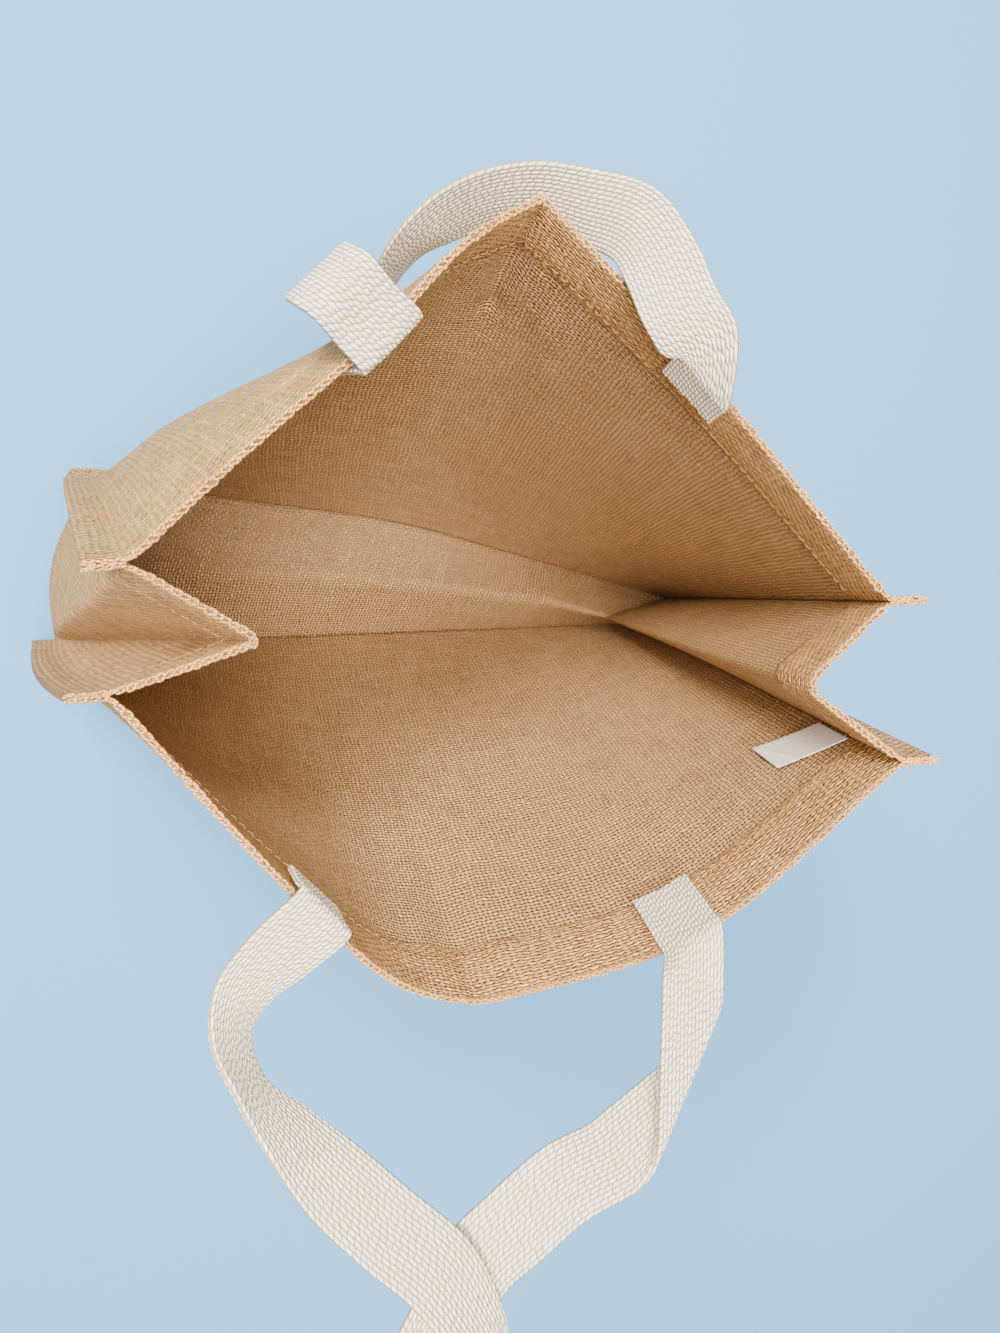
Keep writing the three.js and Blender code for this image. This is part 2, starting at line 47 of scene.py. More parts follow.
HEM_DEPTH = 30
HEM_EDGE = 1  # the mesh has a row this far below the hem's raw edge
HEM_SOFT = 8  # height over which the turned layer rises out of the cloth
HEM_TAPER = (0.5, 8)  # distances from a side seam between which it reaches its full thickness
HEM_TURN = 6  # cloth that goes round the turn at the mouth
EDGE_BULGE = 0.8  # share of a half circle to which a turned edge is rounded
FOOT_SPLAY = math.radians(30)  # outward lean of the bottom margins
FOOT_RISE = SEAM_MARGIN * math.cos(FOOT_SPLAY)
SLOPE_STEP = 0.01  # share of the panel's height over which a slope is taken
MITRE_LIMIT = 2.2  # most that a crease may widen the offset of a skin
BAG_CENTRE = np.array((2.04, -52.09, 0))  # the bag's middle, in the tables' own frame

# Threads that run up a panel. Columns: across, foot x, foot y, belly x, belly y, mouth x, y, z, crease
BACK_THREADS = (
    (0, -171, 73, -2, 8, -98, 34, 319, 0),
    (50, -120, 66, -14, 21, -60, 68, 321, 0),
    (103, -68, 58, -16, 19, -17, 104, 322, 0),
    (146, -26, 52, -8, 13, 12.5, 134.5, 315, 0),
    (190, 18, 44, 0, 6, 43, 155, 300, 0.9),
    (277, 101, 20, 4, 5, 97, 93, 318, 0),
    (380, 199, -10, 0, 0, 166, 14, 326, 0),
)
FRONT_THREADS = (
    (0, -197, -28, -5, -3, -108, -11, 311, 0),
    (103, -97, -29, -4, -6, -46, -89, 319, 0),
    (150, -53, -29, -2, -6, -16, -125, 307, 0),
    (190, -13, -29, 0, -3, 14, -140, 299, 0.5),
    (212, 9, -29, 1, -3, 34, -136, 303, 0),
    (277, 74, -29, 2, -4, 96, -115, 315, 0),
    (380, 176, -29, 0, 0, 173, -48, 328, 0),
)

# Soft creases pressed into the cloth. Columns: across, drop below the mouth at one end, the same at the
# other end, half width, depth into the bag; a crease with a depth below zero stands out of it
BACK_CREASES = (
    (172, 34, 184, 66, 5, 1.6),
    (186, 32, 189, 74, 5, -1.8),
    (203, 36, 194, 62, 5, 1.5),
    (215, 60, 240, 150, 12, 1.2),
    (150, 90, 120, 210, 14, -1.2),
)
FRONT_CREASES = (
    (190, 0, 186, 300, 6, -1.1),
    (208, 8, 206, 120, 7, 1.2),
    (176, 10, 170, 60, 6, 1.0),
    (300, 70, 270, 200, 16, 0.9),
    (90, 120, 120, 260, 16, -0.9),
)
CREASE_FADE = (-30, 40)  # drops below the mouth between which a crease gains its depth
SLACK_DEPTH = 0.45  # depth of the slow waves in the slack cloth
SLACK_WIDTHS, SLACK_TURNS = (31, 57, 13), (2.1, 9, 11)  # their widths, and how they lean up the panel
SHORT_WAVE = 0.6  # share of the depth that the narrowest has
SLACK_DROP = (26, 80)  # drops below the mouth between which they start
SLACK_SIDE, SLACK_FOOT = (4, 70), (0.02, 0.2)  # the seams hold the cloth: mm from a side, share of the height


def unit(ways):
    return ways / np.linalg.norm(ways, axis=-1, keepdims=True)


def dot(a, b):
    return np.sum(a * b, axis=-1, keepdims=True)


def ease(value, low, high):
    t = np.clip((value - low) / (high - low), 0, 1)
    return t * t * (3 - 2 * t)


class Panel:
    # The middle surface of one panel: across runs along the mouth in mm, up from 0 at the foot to 1

    def __init__(self, threads, creases, outward):
        columns = np.array(threads, float).T
        self.at, self.crease = columns[0], columns[8]
        level = np.zeros_like(self.at)
        self.foot = np.stack((columns[1], columns[2], level + FOOT_RISE), axis=1)
        self.belly = np.stack((columns[3], columns[4], level), axis=1)
        self.mouth = columns[5:8].T
        self.creases, self.outward = creases, outward

    def thread(self, index, up):
        up = up[..., None]
        return self.foot[index] * (1 - up) + self.mouth[index] * up + self.belly[index] * 4 * up * (1 - up)

    def span_slope(self, index, up):
        step = self.thread(index + 1, up) - self.thread(index, up)
        return step / (self.at[index + 1] - self.at[index])[..., None]

    def thread_slope(self, index, span, up):
        before = self.span_slope(np.maximum(index - 1, 0), up)
        after = self.span_slope(np.minimum(index, len(self.at) - 2), up)
        smooth = (before + after) / 2
        return smooth + (self.span_slope(span, up) - smooth) * (self.crease[index] * up)[..., None]

    def point(self, across, up):
        across, up = np.broadcast_arrays(np.asarray(across, float), np.asarray(up, float))
        span = np.clip(np.searchsorted(self.at, across) - 1, 0, len(self.at) - 2)
        length = self.at[span + 1] - self.at[span]
        t = ((across - self.at[span]) / length)[..., None]
        start, end = self.thread(span, up), self.thread(span + 1, up)
        bend = self.thread_slope(span, span, up) * t * (1 - t) ** 2
        bend = bend - self.thread_slope(span + 1, span, up) * t * t * (1 - t)
        return start + (end - start) * t * t * (3 - 2 * t) + bend * length[..., None]

    def rise(self, across, up):
        level = np.clip(up, SLOPE_STEP, 1 - SLOPE_STEP)
        return self.point(across, level + SLOPE_STEP) - self.point(across, level - SLOPE_STEP)

    def run(self, across, up):
        side = np.clip(across, 1, PANEL_WIDTH - 1)
        return self.point(side + 1, up) - self.point(side - 1, up)

    def margin_way(self, side, up):
        # The way a margin stands out of a side seam: level with X, square to the seam
        seam = unit(self.rise(side, up))
        out = np.zeros_like(seam)
        out[..., 0] = np.where(np.asarray(side) > 0, 1, -1)
        return unit(out - seam * dot(out, seam))

    def foot_way(self, across):
        # The way a margin leans out of the bottom seam, down to the floor
        seam = unit(self.run(across, 0))
        lean = math.sin(FOOT_SPLAY) * self.outward
        down = np.full_like(seam[..., 0], -math.cos(FOOT_SPLAY))
        return np.stack((-seam[..., 1] * lean, seam[..., 0] * lean, down), axis=-1)

    def cloth(self, across, up, below):
        # A point of the whole cut panel, its margins too; below is the way down a bottom margin in mm
        side = np.clip(across, 0, PANEL_WIDTH)
        seam = self.point(side, up) + self.margin_way(side, up) * np.abs(across - side)[..., None]
        floor = seam + self.foot_way(across) * SEAM_MARGIN
        floor[..., 2] = 0
        return seam + (floor - seam) * (below / SEAM_MARGIN)[..., None]

    def inner_way(self, across, up):
        # The way into the bag, square to the cloth
        side = np.clip(across, 1, PANEL_WIDTH - 1)
        return unit(np.cross(self.run(across, up), self.rise(side, up))) * self.outward

    def inside(self, distance, across, up):
        way = self.inner_way(across, up)
        return self.point(across, up) + way * np.asarray(distance, float)[..., None]

    def sag(self, across, up):
        # How far creases and slack push the cloth into the bag, with nothing at the seams
        drop = (1 - up) * PANEL_HEIGHT
        free = ease(np.minimum(across, PANEL_WIDTH - across), *SLACK_SIDE) * ease(up, *SLACK_FOOT)
        one, two, three = (across / width for width in SLACK_WIDTHS)
        lean = [turn * up for turn in SLACK_TURNS]
        wave = np.sin(one + lean[0]) * np.sin(lean[1] + two) + SHORT_WAVE * np.sin(three - lean[2])
        push = SLACK_DEPTH * wave * ease(drop, *SLACK_DROP)
        for x0, d0, x1, d1, width, depth in self.creases:
            way = np.array((x1 - x0, d1 - d0), float)
            along = np.clip(((across - x0) * way[0] + (drop - d0) * way[1]) / way.dot(way), 0, 1)
            off = np.hypot(across - x0 - along * way[0], drop - d0 - along * way[1])
            push = push + depth * np.exp(-((off / width) ** 2)) * ease(drop, *CREASE_FADE)
        return push * free


def mitres(rows):
    # Offset way at each grid point: it keeps the cloth's thickness on both sides of a crease
    faces = unit(np.cross(rows[1:, 1:] - rows[:-1, :-1], rows[1:, :-1] - rows[:-1, 1:]))
    total = np.zeros_like(rows)
    corners = [(slice(0, -1), slice(0, -1)), (slice(0, -1), slice(1, None))]
    corners += [(slice(1, None), slice(0, -1)), (slice(1, None), slice(1, None))]
    for corner in corners:
        total[corner] += faces
    mean = unit(total)
    lean = np.zeros(rows.shape[:2] + (1,))
    count = np.zeros_like(lean)
    for corner in corners:
        lean[corner] += dot(faces, mean[corner])
        count[corner] += 1
    return mean * np.minimum(count / lean, MITRE_LIMIT)


def round_over(first, second, beyond, steps=5):
    # Rows of a half circle from one skin's edge row to the other's, bulging past the edge; none where
    # beyond, the way out of the edge, is None
    if beyond is None:
        return []
    middle, reach = (first + second) / 2, (first - second) / 2
    size = np.linalg.norm(reach, axis=-1, keepdims=True)
    turns = np.linspace(0, math.pi, steps + 2)[1:-1]
    bulge = beyond * size * EDGE_BULGE
    return [middle + reach * math.cos(turn) + bulge * math.sin(turn) for turn in turns]


def add_mesh(name, points, faces, cloth, marks=None, sharp=math.radians(60)):
    # A mesh object from points in mm, with its place on the flat cloth in metres as its UV map
    mesh = bpy.data.meshes.new(name)
    points = np.asarray(points, float).reshape(-1, 3)
    mesh.from_pydata(((points - BAG_CENTRE) / 1000).tolist(), [], faces)
    corners = np.empty(len(mesh.loops), int)
    mesh.loops.foreach_get("vertex_index", corners)
    layer = mesh.uv_layers.new(name="cloth")
    layer.data.foreach_set("uv", (np.asarray(cloth, float).reshape(-1, 2)[corners] / 1000).ravel())
    for mark, values in (marks or {}).items():
        mesh.attributes.new(mark, "FLOAT", "POINT").data.foreach_set("value", np.ravel(values).astype(float))
    mesh.polygons.foreach_set("use_smooth", [True] * len(mesh.polygons))
    mesh.set_sharp_from_angle(angle=sharp)
    mesh.update()
    made = bpy.data.objects.new(name, mesh)
    bpy.context.scene.collection.objects.link(made)
    return made


def ring_faces(count, width, caps):
    # Quads between rows of points that close into a ring, and the two caps across the row ends
    k, j = np.meshgrid(np.arange(count), np.arange(width - 1), indexing="ij")
    a, b = k * width + j, ((k + 1) % count) * width + j
    faces = np.stack((a, b, b + 1, a + 1), axis=-1).reshape(-1, 4).tolist()
    for cap in caps:
        faces.append([row * width for row in reversed(cap)])
        faces.append([row * width + width - 1 for row in cap])
    return faces


def sheet(name, skins, cloths, marks, beyond):
    # A closed sheet: the outer skin, an edge, the inner skin back again and a second edge. beyond holds
    # the ways out of the first and last row's edge, or None for an edge cut flat
    outer, inner = skins
    rows, width = outer.shape[:2]
    ends = [round_over(outer[-1], inner[-1], beyond[1]), round_over(inner[0], outer[0], beyond[0])]
    points = [*outer, *ends[0], *inner[::-1], *ends[1]]
    places = []
    for k, (one, two) in enumerate(((cloths[0][-1], cloths[1][-1]), (cloths[1][0], cloths[0][0]))):
        steps = len(ends[k])
        places.append([one + (two - one) * (n + 1) / (steps + 1) for n in range(steps)])
    flat = [*cloths[0], *places[0], *cloths[1][::-1], *places[1]]
    edges = [np.zeros((len(end), width)) for end in ends]
    values = {}
    for mark, (one, two) in marks.items():
        values[mark] = np.concatenate((one, edges[0], two[::-1], edges[1]))
    total = len(points)
    caps = []
    for k in range(rows - 1):
        far = total - 1 - len(ends[1]) - k
        caps.append((k, k + 1, far - 1, far))
    if ends[0]:
        caps.append(tuple(range(rows - 1, rows + len(ends[0]) + 1)))
    if ends[1]:
        caps.append((*range(total - 1 - len(ends[1]), total), 0))
    return add_mesh(name, np.array(points), ring_faces(total, width, caps), np.array(flat), values)


class Shade:
    # One socket of a material's nodes. Sums and products of it add Math nodes.

    def __init__(self, tree, socket=None):
        self.tree, self.socket = tree, socket

    def node(self, kind, settings=None, inputs=None, output=0):
        made = self.tree.nodes.new("ShaderNode" + kind)
        for name, value in (settings or {}).items():
            setattr(made, name, value)
        for name, value in (inputs or {}).items():
            if isinstance(value, Shade):
                self.tree.links.new(value.socket, made.inputs[name])
            else:
                made.inputs[name].default_value = value
        return Shade(self.tree, made.outputs[output])

    def of(self, output):
        return Shade(self.tree, self.socket.node.outputs[output])

    def math(self, operation, *others):
        return self.node("Math", {"operation": operation}, dict(enumerate((self, *others))))

    def mix(self, one, two):
        # A colour between two colours, with this value as the share of the second
        return self.node("Mix", {"data_type": "RGBA"}, {0: self, 6: one, 7: two}, output=2)

    def noise(self, scale, detail, dimensions="2D"):
        inputs = {"Vector": self, "Scale": scale, "Detail": detail}
        return self.node("TexNoise", {"noise_dimensions": dimensions}, inputs)

    def bump(self, strength, distance):
        # A Normal with this value as the height, distance in metres
        return self.node("Bump", inputs={"Strength": strength, "Distance": distance, "Height": self})

    def step(self, low, high):
        settings = {"interpolation_type": "SMOOTHSTEP"}
        return self.node("MapRange", settings, {"Value": self, "From Min": low, "From Max": high})

    def __add__(self, other):
        return self.math("ADD", other)

    __radd__ = __add__

    def __mul__(self, other):
        return self.math("MULTIPLY", other)

    __rmul__ = __mul__

    def __sub__(self, other):
        return self.math("SUBTRACT", other)

    def __rsub__(self, other):
        return self.node("Math", {"operation": "SUBTRACT"}, {0: other, 1: self})

    def __truediv__(self, other):
        return self.math("DIVIDE", other)

    def __rtruediv__(self, other):
        return self.node("Math", {"operation": "DIVIDE"}, {0: other, 1: self})


def tone(red, green, blue):
    # A colour given as it looks on screen
    made = []
    for level in (red / 255, green / 255, blue / 255):
        made.append(level / 12.92 if level <= 0.04 else ((level + 0.055) / 1.055) ** 2.4)
    return (*made, 1)


def finish_material(name, **fixed):
    # A new material, its first Shade and a call that sets what varies over the surface
    material = bpy.data.materials.new(name)
    material.use_nodes = True
    tree = material.node_tree
    shader = tree.nodes["Principled BSDF"]
    for socket, value in fixed.items():
        shader.inputs[socket.replace("_", " ")].default_value = value

    def surface(**varied):
        for socket, shade in varied.items():
            tree.links.new(shade.socket, shader.inputs[socket.replace("_", " ")])

    return material, Shade(tree), surface


def on_cloth(paint):
    # A point's place on the flat cloth, and the same split into its two sides
    place = paint.node("UVMap", {"uv_map": "cloth"})
    return place, place.node("SeparateXYZ", inputs={0: place})


JUTE_PALE, FILM_PALE = tone(250, 203, 138), tone(236, 198, 146)
JUTE_STRAW, FILM_STRAW = tone(212, 159, 98), tone(200, 158, 108)
JUTE_BROWN, FILM_BROWN = tone(144, 99, 55), tone(144, 102, 60)
# Painted shade: a dark colour put into the gaps and holes between the yarns
JUTE_GAP_SHADE = tone(42, 25, 11)
FILM_TONE = tone(172, 130, 82)
LIGHT_DOT = tone(250, 232, 196)
YARN_ACROSS = 2.7  # spacing of the yarns that run up the cloth, outer face
YARN_UP = 1.7  # spacing of the yarns that run along it
FILM_YARN = 2.0  # spacing that shows through the film
YARN_DRIFT, YARN_KINK = 2.2, 1.3  # how far a yarn strays, in slow drifts and in short kinks
YARN_CROWN = 0.9  # roundness of a yarn's back, 1 for a sine
FILM_SHARE = 0.14  # share of the film's own tone over the yarns
WEAVE_RELIEF = 0.0013  # metres

jute, paint, surface = finish_material("jute_cloth", Specular_IOR_Level=0.2)
place, sides = on_cloth(paint)
film, light_spots = (
    paint.node("Attribute", {"attribute_name": mark}, output="Fac") for mark in ("film", "light_spots")
)
drift = paint.node("SeparateColor", inputs={0: place.noise(95.0, 2.0).of("Color")})
kink = paint.node("SeparateColor", inputs={0: place.noise(330.0, 1.0).of("Color")})


def yarn_set(side, stray, spacing):
    # One way of the weave: each yarn's number, its wave over the next ones and its rounded back
    along = side * 1000 + (drift.of(stray) - 0.5) * YARN_DRIFT + (kink.of(stray) - 0.5) * YARN_KINK
    count = along / spacing
    wave = (count * math.pi).math("SINE")
    return count.math("FLOOR"), wave, wave.math("ABSOLUTE").math("POWER", YARN_CROWN)


number_u, wave_u, crown_u = yarn_set(sides, "Red", YARN_ACROSS - (YARN_ACROSS - FILM_YARN) * film)
number_v, wave_v, crown_v = yarn_set(sides.of("Y"), "Green", YARN_UP + (FILM_YARN - YARN_UP) * film)
tone_u = number_u.node("TexWhiteNoise", {"noise_dimensions": "1D"}, {"W": number_u})
tone_v = number_v.node("TexWhiteNoise", {"noise_dimensions": "1D"}, {"W": number_v + 0.37})
streak_u = paint.node("CombineXYZ", inputs={0: number_u * 3.7, 1: sides.of("Y") * 55})
streak_v = paint.node("CombineXYZ", inputs={0: sides * 55, 1: number_v * 4.3})
slub_u, slub_v = streak_u.noise(1.0, 1.0), streak_v.noise(1.0, 1.0)
height_u = crown_u * (0.6 + 0.34 * wave_u.math("SIGN") * wave_v + 0.6 * (slub_u - 0.5))
height_v = crown_v * (0.66 - 0.38 * wave_v.math("SIGN") * wave_u + 0.6 * (slub_v - 0.5))
height = height_u.math("SMOOTH_MAX", height_v, 0.08)
brown, straw = film.mix(JUTE_BROWN, FILM_BROWN), film.mix(JUTE_STRAW, FILM_STRAW)
shade_u = (tone_u * 0.3 + slub_u * 1.2 - 0.3 + 0.3 * film).mix(brown, straw)
shade_v = (tone_v * 0.3 + slub_v * 1.2 - 0.2 - 0.25 * film).mix(straw, film.mix(JUTE_PALE, FILM_PALE))
yarn = (height_v - height_u).step(-0.1, 0.1).mix(shade_u, shade_v)
# Painted shade: the low gaps between the yarns and the holes of the weave take the dark gap colour
clear_of_gap_shade = height.step(0.16, 0.62)
fibre, patch = place.noise(2600.0, 2.0), place.noise(14.0, 3.0)
bare = clear_of_gap_shade.mix(JUTE_GAP_SHADE, yarn)
hole = (1 - wave_u.math("ABSOLUTE")) * (1 - wave_v.math("ABSOLUTE"))
bare = (hole.step(0.03, 0.2) * (0.3 + 0.5 * film)).mix(bare, JUTE_GAP_SHADE)
coated = (film * FILM_SHARE).mix(bare, FILM_TONE)
worn = (patch * 0.9 + fibre * 0.5 - 0.45).mix(coated, straw)
toned = (0.16 * film + 0.1).mix(coated, worn)
dots = hole.step(0.2, 0.55) * (0.15 + place.noise(210.0, 1.0)) * light_spots
colour = dots.mix(toned, LIGHT_DOT)
relief = (height + fibre * 0.12) * (1 - 0.2 * film)
rough = 0.94 - 0.3 * film + 0.06 * fibre
surface(Base_Color=colour, Roughness=rough, Normal=relief.bump(1.0, WEAVE_RELIEF))

MARGIN_POINTS = 6  # mesh points across a seam margin, the seam's own among them
PANEL_COLUMNS = np.concatenate(
    (
        np.linspace(-SEAM_MARGIN, 0, MARGIN_POINTS)[:-1],
        np.linspace(0, PANEL_WIDTH, 153),
        PANEL_WIDTH + np.linspace(0, SEAM_MARGIN, MARGIN_POINTS)[1:],
    )
)
EDGE_ROUND = 1.6  # the mouth's rounded edge starts this far below the mouth
FOOT_ROWS = np.linspace(SEAM_MARGIN, 0, MARGIN_POINTS)[:-1]
HEM_FOOT = 1 - HEM_DEPTH / PANEL_HEIGHT
UP_ROWS = np.concatenate(
    (
        np.linspace(0, HEM_FOOT - HEM_EDGE / PANEL_HEIGHT, 110),
        np.linspace(HEM_FOOT, 1 - EDGE_ROUND / PANEL_HEIGHT, 13),
    )
)
TOUCH = 1e-6  # closer than this counts as touching
SPOT_SHARE, SPOT_FADE = 0.35, (0.45, 0.05)  # light through the back panel's low part: strength, heights


def hem_taper(across, width):
    return ease(np.minimum(across, width - across), *HEM_TAPER)


def panel_piece(name, panel):
    ups = np.concatenate((np.zeros(len(FOOT_ROWS)), UP_ROWS))
    belows = np.concatenate((FOOT_ROWS, np.zeros(len(UP_ROWS))))
    across, up = np.meshgrid(PANEL_COLUMNS, ups)
    below = np.meshgrid(PANEL_COLUMNS, belows)[1]
    rows = panel.cloth(across, up, below)
    inward = mitres(rows)
    middle = len(ups) // 2, len(PANEL_COLUMNS) // 2
    inward *= np.sign(dot(inward[middle], panel.inner_way(PANEL_WIDTH / 2, 0.5)))
    floor = rows[..., 2] < TOUCH
    inward[floor, 2] = 0
    rows = rows + unit(inward) * panel.sag(np.clip(across, 0, PANEL_WIDTH), up)[..., None]
    turned = up >= HEM_FOOT - TOUCH
    layer = turned * ease((up - HEM_FOOT) * PANEL_HEIGHT, 0, HEM_SOFT) * hem_taper(across, PANEL_WIDTH)
    outer = rows - inward * (JUTE / 2)
    inner = rows + inward * (JUTE / 2 + JUTE * layer)[..., None]
    outer[floor, 2] = inner[floor, 2] = 0
    along = up * PANEL_HEIGHT - below
    back = np.where(turned, 2 * PANEL_HEIGHT + HEM_TURN - along, along)
    cloths = (np.stack((across, along), axis=-1), np.stack((across, back), axis=-1))
    coated = np.where(turned, 0.0, 1.0)
    spots = coated * ease(up, *SPOT_FADE) * SPOT_SHARE if panel.outward > 0 else coated * 0
    marks = {"film": (np.zeros_like(up), coated), "light_spots": (np.zeros_like(up), spots)}
    made = sheet(name, (outer, inner), cloths, marks, (None, unit(rows[-1] - rows[-2])))
    if panel.outward < 0:  # seen from outside, this panel's columns run from right to left
        made.data.flip_normals()
    made.data.materials.append(jute)
    return made


BACK = Panel(BACK_THREADS, BACK_CREASES, 1)
FRONT = Panel(FRONT_THREADS, FRONT_CREASES, -1)
back_panel = panel_piece("back_panel_cloth", BACK)
front_panel = panel_piece("front_panel_cloth", FRONT)
for piece, node in ((back_panel, "back_panel"), (front_panel, "front_panel")):
    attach(piece, "root")
    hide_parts(node)


# The gusset strip: one length of the same jute, down the left side, along the bottom and up the right
# side, hemmed at both ends. It is creased along its middle, folded in, and sewn inside the panel margins.
STRIP_WIDTH = 100
STRIP_LENGTH = 2 * PANEL_HEIGHT + PANEL_WIDTH
LAYER_GAP, FOOT_GAP = 0.25, 0.75  # air between two sewn layers, down the sides and along the bottom
CORNER_GAP = 2.0  # more air where two seams meet at a bottom corner
CORNER_STEP, BOTTOM_INSET = 4, 7  # distances from a corner of the first two rows of mesh
SIDE_REACH, BOTTOM_REACH = 24, 14.6  # lengths over which the corner's air runs out
FOLD_EASE = 0.86  # share of a sharp fold's depth that the crease reaches
RIDGE_START = 120  # the bottom crease rises over this length from the flat left corner
LEFT_BULGE = 11  # the left side stands out by this at its foot
CREASE_ROUND, SHARP_ROUND = 7, 3  # cloth bent round a crease, and round the two on the left side
ROUND_STEPS = 15
CORNER_REACH = 2.2  # near the right corner the two creases meet at this slope
LEFT_CREASE_MOUTH = np.array((-60, 5, 302.0))
STRIP_WALL = np.linspace(0, STRIP_WIDTH, 43)[1:-1]
MARGIN_STEPS = np.linspace(1, 0, MARGIN_POINTS)
STRIP_LOT = 700  # place of the strip on the flat cloth, so that its yarns aren't those of a panel
# Light through the rear half of the bottom: places across the strip, and along it where it starts and ends
STRIP_SPOTS = {"across": (62, 30), "start": (260, 360), "end": (650, 520)}


def strip_edge(panel, across, up, side_margin, foot_margin):
    # The strip's seam point at a panel and the tip of its margin, inside the panel's own margin
    seam = panel.point(across, up)
    inner = panel.inner_way(across, up)
    faces, ways, tip = [], [], np.zeros(3)
    if side_margin:
        ways.append((panel.margin_way(across, up), panel.point(across, up + SLOPE_STEP) - seam))
    if foot_margin:
        ways.append((panel.foot_way(across), panel.run(across, up)))
    for out, along in ways:
        face = unit(np.cross(out, along))
        faces.append(face * np.sign(face.dot(inner)))
        tip = tip + out * SEAM_MARGIN
    way = unit(sum(faces))
    corner_across, corner_up = min(across, PANEL_WIDTH - across), up * PANEL_HEIGHT
    near_side = np.clip((BOTTOM_REACH - corner_across) / (BOTTOM_REACH - CORNER_STEP), 0, 1)
    near_foot = np.clip((SIDE_REACH - corner_up) / (SIDE_REACH - CORNER_STEP), 0, 1)
    layers = JUTE + (FOOT_GAP if foot_margin else LAYER_GAP) + CORNER_GAP * near_side * near_foot
    seam = seam + way * layers / way.dot(faces[0])
    tip = seam + tip
    if foot_margin:
        tip[2] = 0
    return seam, tip


def strip_section(back, front, creases, bent=CREASE_ROUND):
    # Points across the strip, from the tip of the back margin over the creases to that of the front
    places = np.array([0, *(place for place, _ in creases), STRIP_WIDTH], float)
    corners = np.array([back[0], *(point for _, point in creases), front[0]])
    reach = np.minimum(np.minimum(STRIP_WALL, STRIP_WIDTH - STRIP_WALL), bent)
    wall = np.zeros((len(STRIP_WALL), 3))
    for shift in np.linspace(-1, 1, ROUND_STEPS):
        for axis in range(3):
            wall[:, axis] += np.interp(STRIP_WALL + shift * reach, places, corners[:, axis]) / ROUND_STEPS
    first = [back[0] + (back[1] - back[0]) * t for t in MARGIN_STEPS]
    last = [front[0] + (front[1] - front[0]) * t for t in MARGIN_STEPS[::-1]]
    return np.array([*first, *wall, *last])


def middle_crease(back, front, share, inward, along, corner_distance):
    # Where the crease along the strip's middle lies, drawn back where it meets the one round the corner
    half = STRIP_WIDTH / 2
    reach = np.linalg.norm(back[0] - front[0]) / 2
    depth = math.sqrt(max(half * half - reach * reach, 0)) * share
    drawn = max(depth - corner_distance / CORNER_REACH, 0)
    return [(half, (back[0] + front[0]) / 2 + inward * depth + along * drawn)]


lowest_up = CORNER_STEP / PANEL_HEIGHT
STRIP_UPS = np.concatenate((UP_ROWS[UP_ROWS > lowest_up + 0.005][::-1], [lowest_up, 0]))
bottom = np.linspace(BOTTOM_INSET, PANEL_WIDTH - BOTTOM_INSET, 130)
STRIP_BOTTOM = np.concatenate(([CORNER_STEP], bottom, [PANEL_WIDTH - CORNER_STEP]))
UP_WAY, LEFT_WAY = np.array((0, 0, 1.0)), np.array((-1.0, 0, 0))
sections, strip_along = [], []
left_corner = strip_edge(FRONT, 0, 0, True, True)[0]
left_mouth = strip_edge(BACK, 0, 1, True, False)[0]
for up in STRIP_UPS:
    back, front = (strip_edge(panel, 0, up, True, up == 0) for panel in (BACK, FRONT))
    slanted = (STRIP_WIDTH * (1 - up), left_corner + (left_mouth - left_corner) * up)
    middle = (STRIP_WIDTH * (1 - up / 2), left_corner + (LEFT_CREASE_MOUTH - left_corner) * up)
    section = strip_section(back, front, [slanted, middle], SHARP_ROUND)
    bulge = LEFT_BULGE * (1 - up) ** 2 * np.sin(math.pi * STRIP_WALL / STRIP_WIDTH)
    section[MARGIN_POINTS:-MARGIN_POINTS, 0] -= bulge
    sections.append(section)
    strip_along.append((1 - up) * PANEL_HEIGHT)
for across in STRIP_BOTTOM:
    back, front = (strip_edge(panel, across, 0, False, True) for panel in (BACK, FRONT))
    share = FOLD_EASE * float(ease(across, 0, RIDGE_START))
    crease = middle_crease(back, front, share, UP_WAY, LEFT_WAY, PANEL_WIDTH - across)
    sections.append(strip_section(back, front, crease))
    strip_along.append(PANEL_HEIGHT + across)
side_way = unit(sum(panel.point(PANEL_WIDTH, 1) - panel.point(PANEL_WIDTH, 0) for panel in (BACK, FRONT)))
fold_way = unit(LEFT_WAY - side_way * LEFT_WAY.dot(side_way))
for up in STRIP_UPS[::-1]:
    back, front = (strip_edge(panel, PANEL_WIDTH, up, True, up == 0) for panel in (BACK, FRONT))
    crease = middle_crease(back, front, FOLD_EASE, fold_way, side_way, up * PANEL_HEIGHT)
    sections.append(strip_section(back, front, crease))
    strip_along.append(PANEL_HEIGHT + PANEL_WIDTH + up * PANEL_HEIGHT)

strip_rows = np.array(sections)
far_margin = STRIP_WIDTH + SEAM_MARGIN * MARGIN_STEPS[::-1]
strip_across = np.concatenate((-SEAM_MARGIN * MARGIN_STEPS, STRIP_WALL, far_margin))
across, along = np.meshgrid(strip_across, strip_along)
strip_in = mitres(strip_rows)
beside_crease = len(strip_across) // 2 - 8
strip_in *= np.sign(strip_in[len(strip_in) // 2, beside_crease, 2])
floor = strip_rows[..., 2] < TOUCH
strip_in[floor, 2] = 0
from_mouth = np.minimum(along, STRIP_LENGTH - along)
turned = from_mouth <= HEM_DEPTH + TOUCH
layer = turned * ease(HEM_DEPTH - from_mouth, 0, HEM_SOFT) * hem_taper(across, STRIP_WIDTH)
outer = strip_rows - strip_in * (JUTE / 2)
inner = strip_rows + strip_in * (JUTE / 2 + JUTE * layer)[..., None]
outer[floor, 2] = inner[floor, 2] = 0
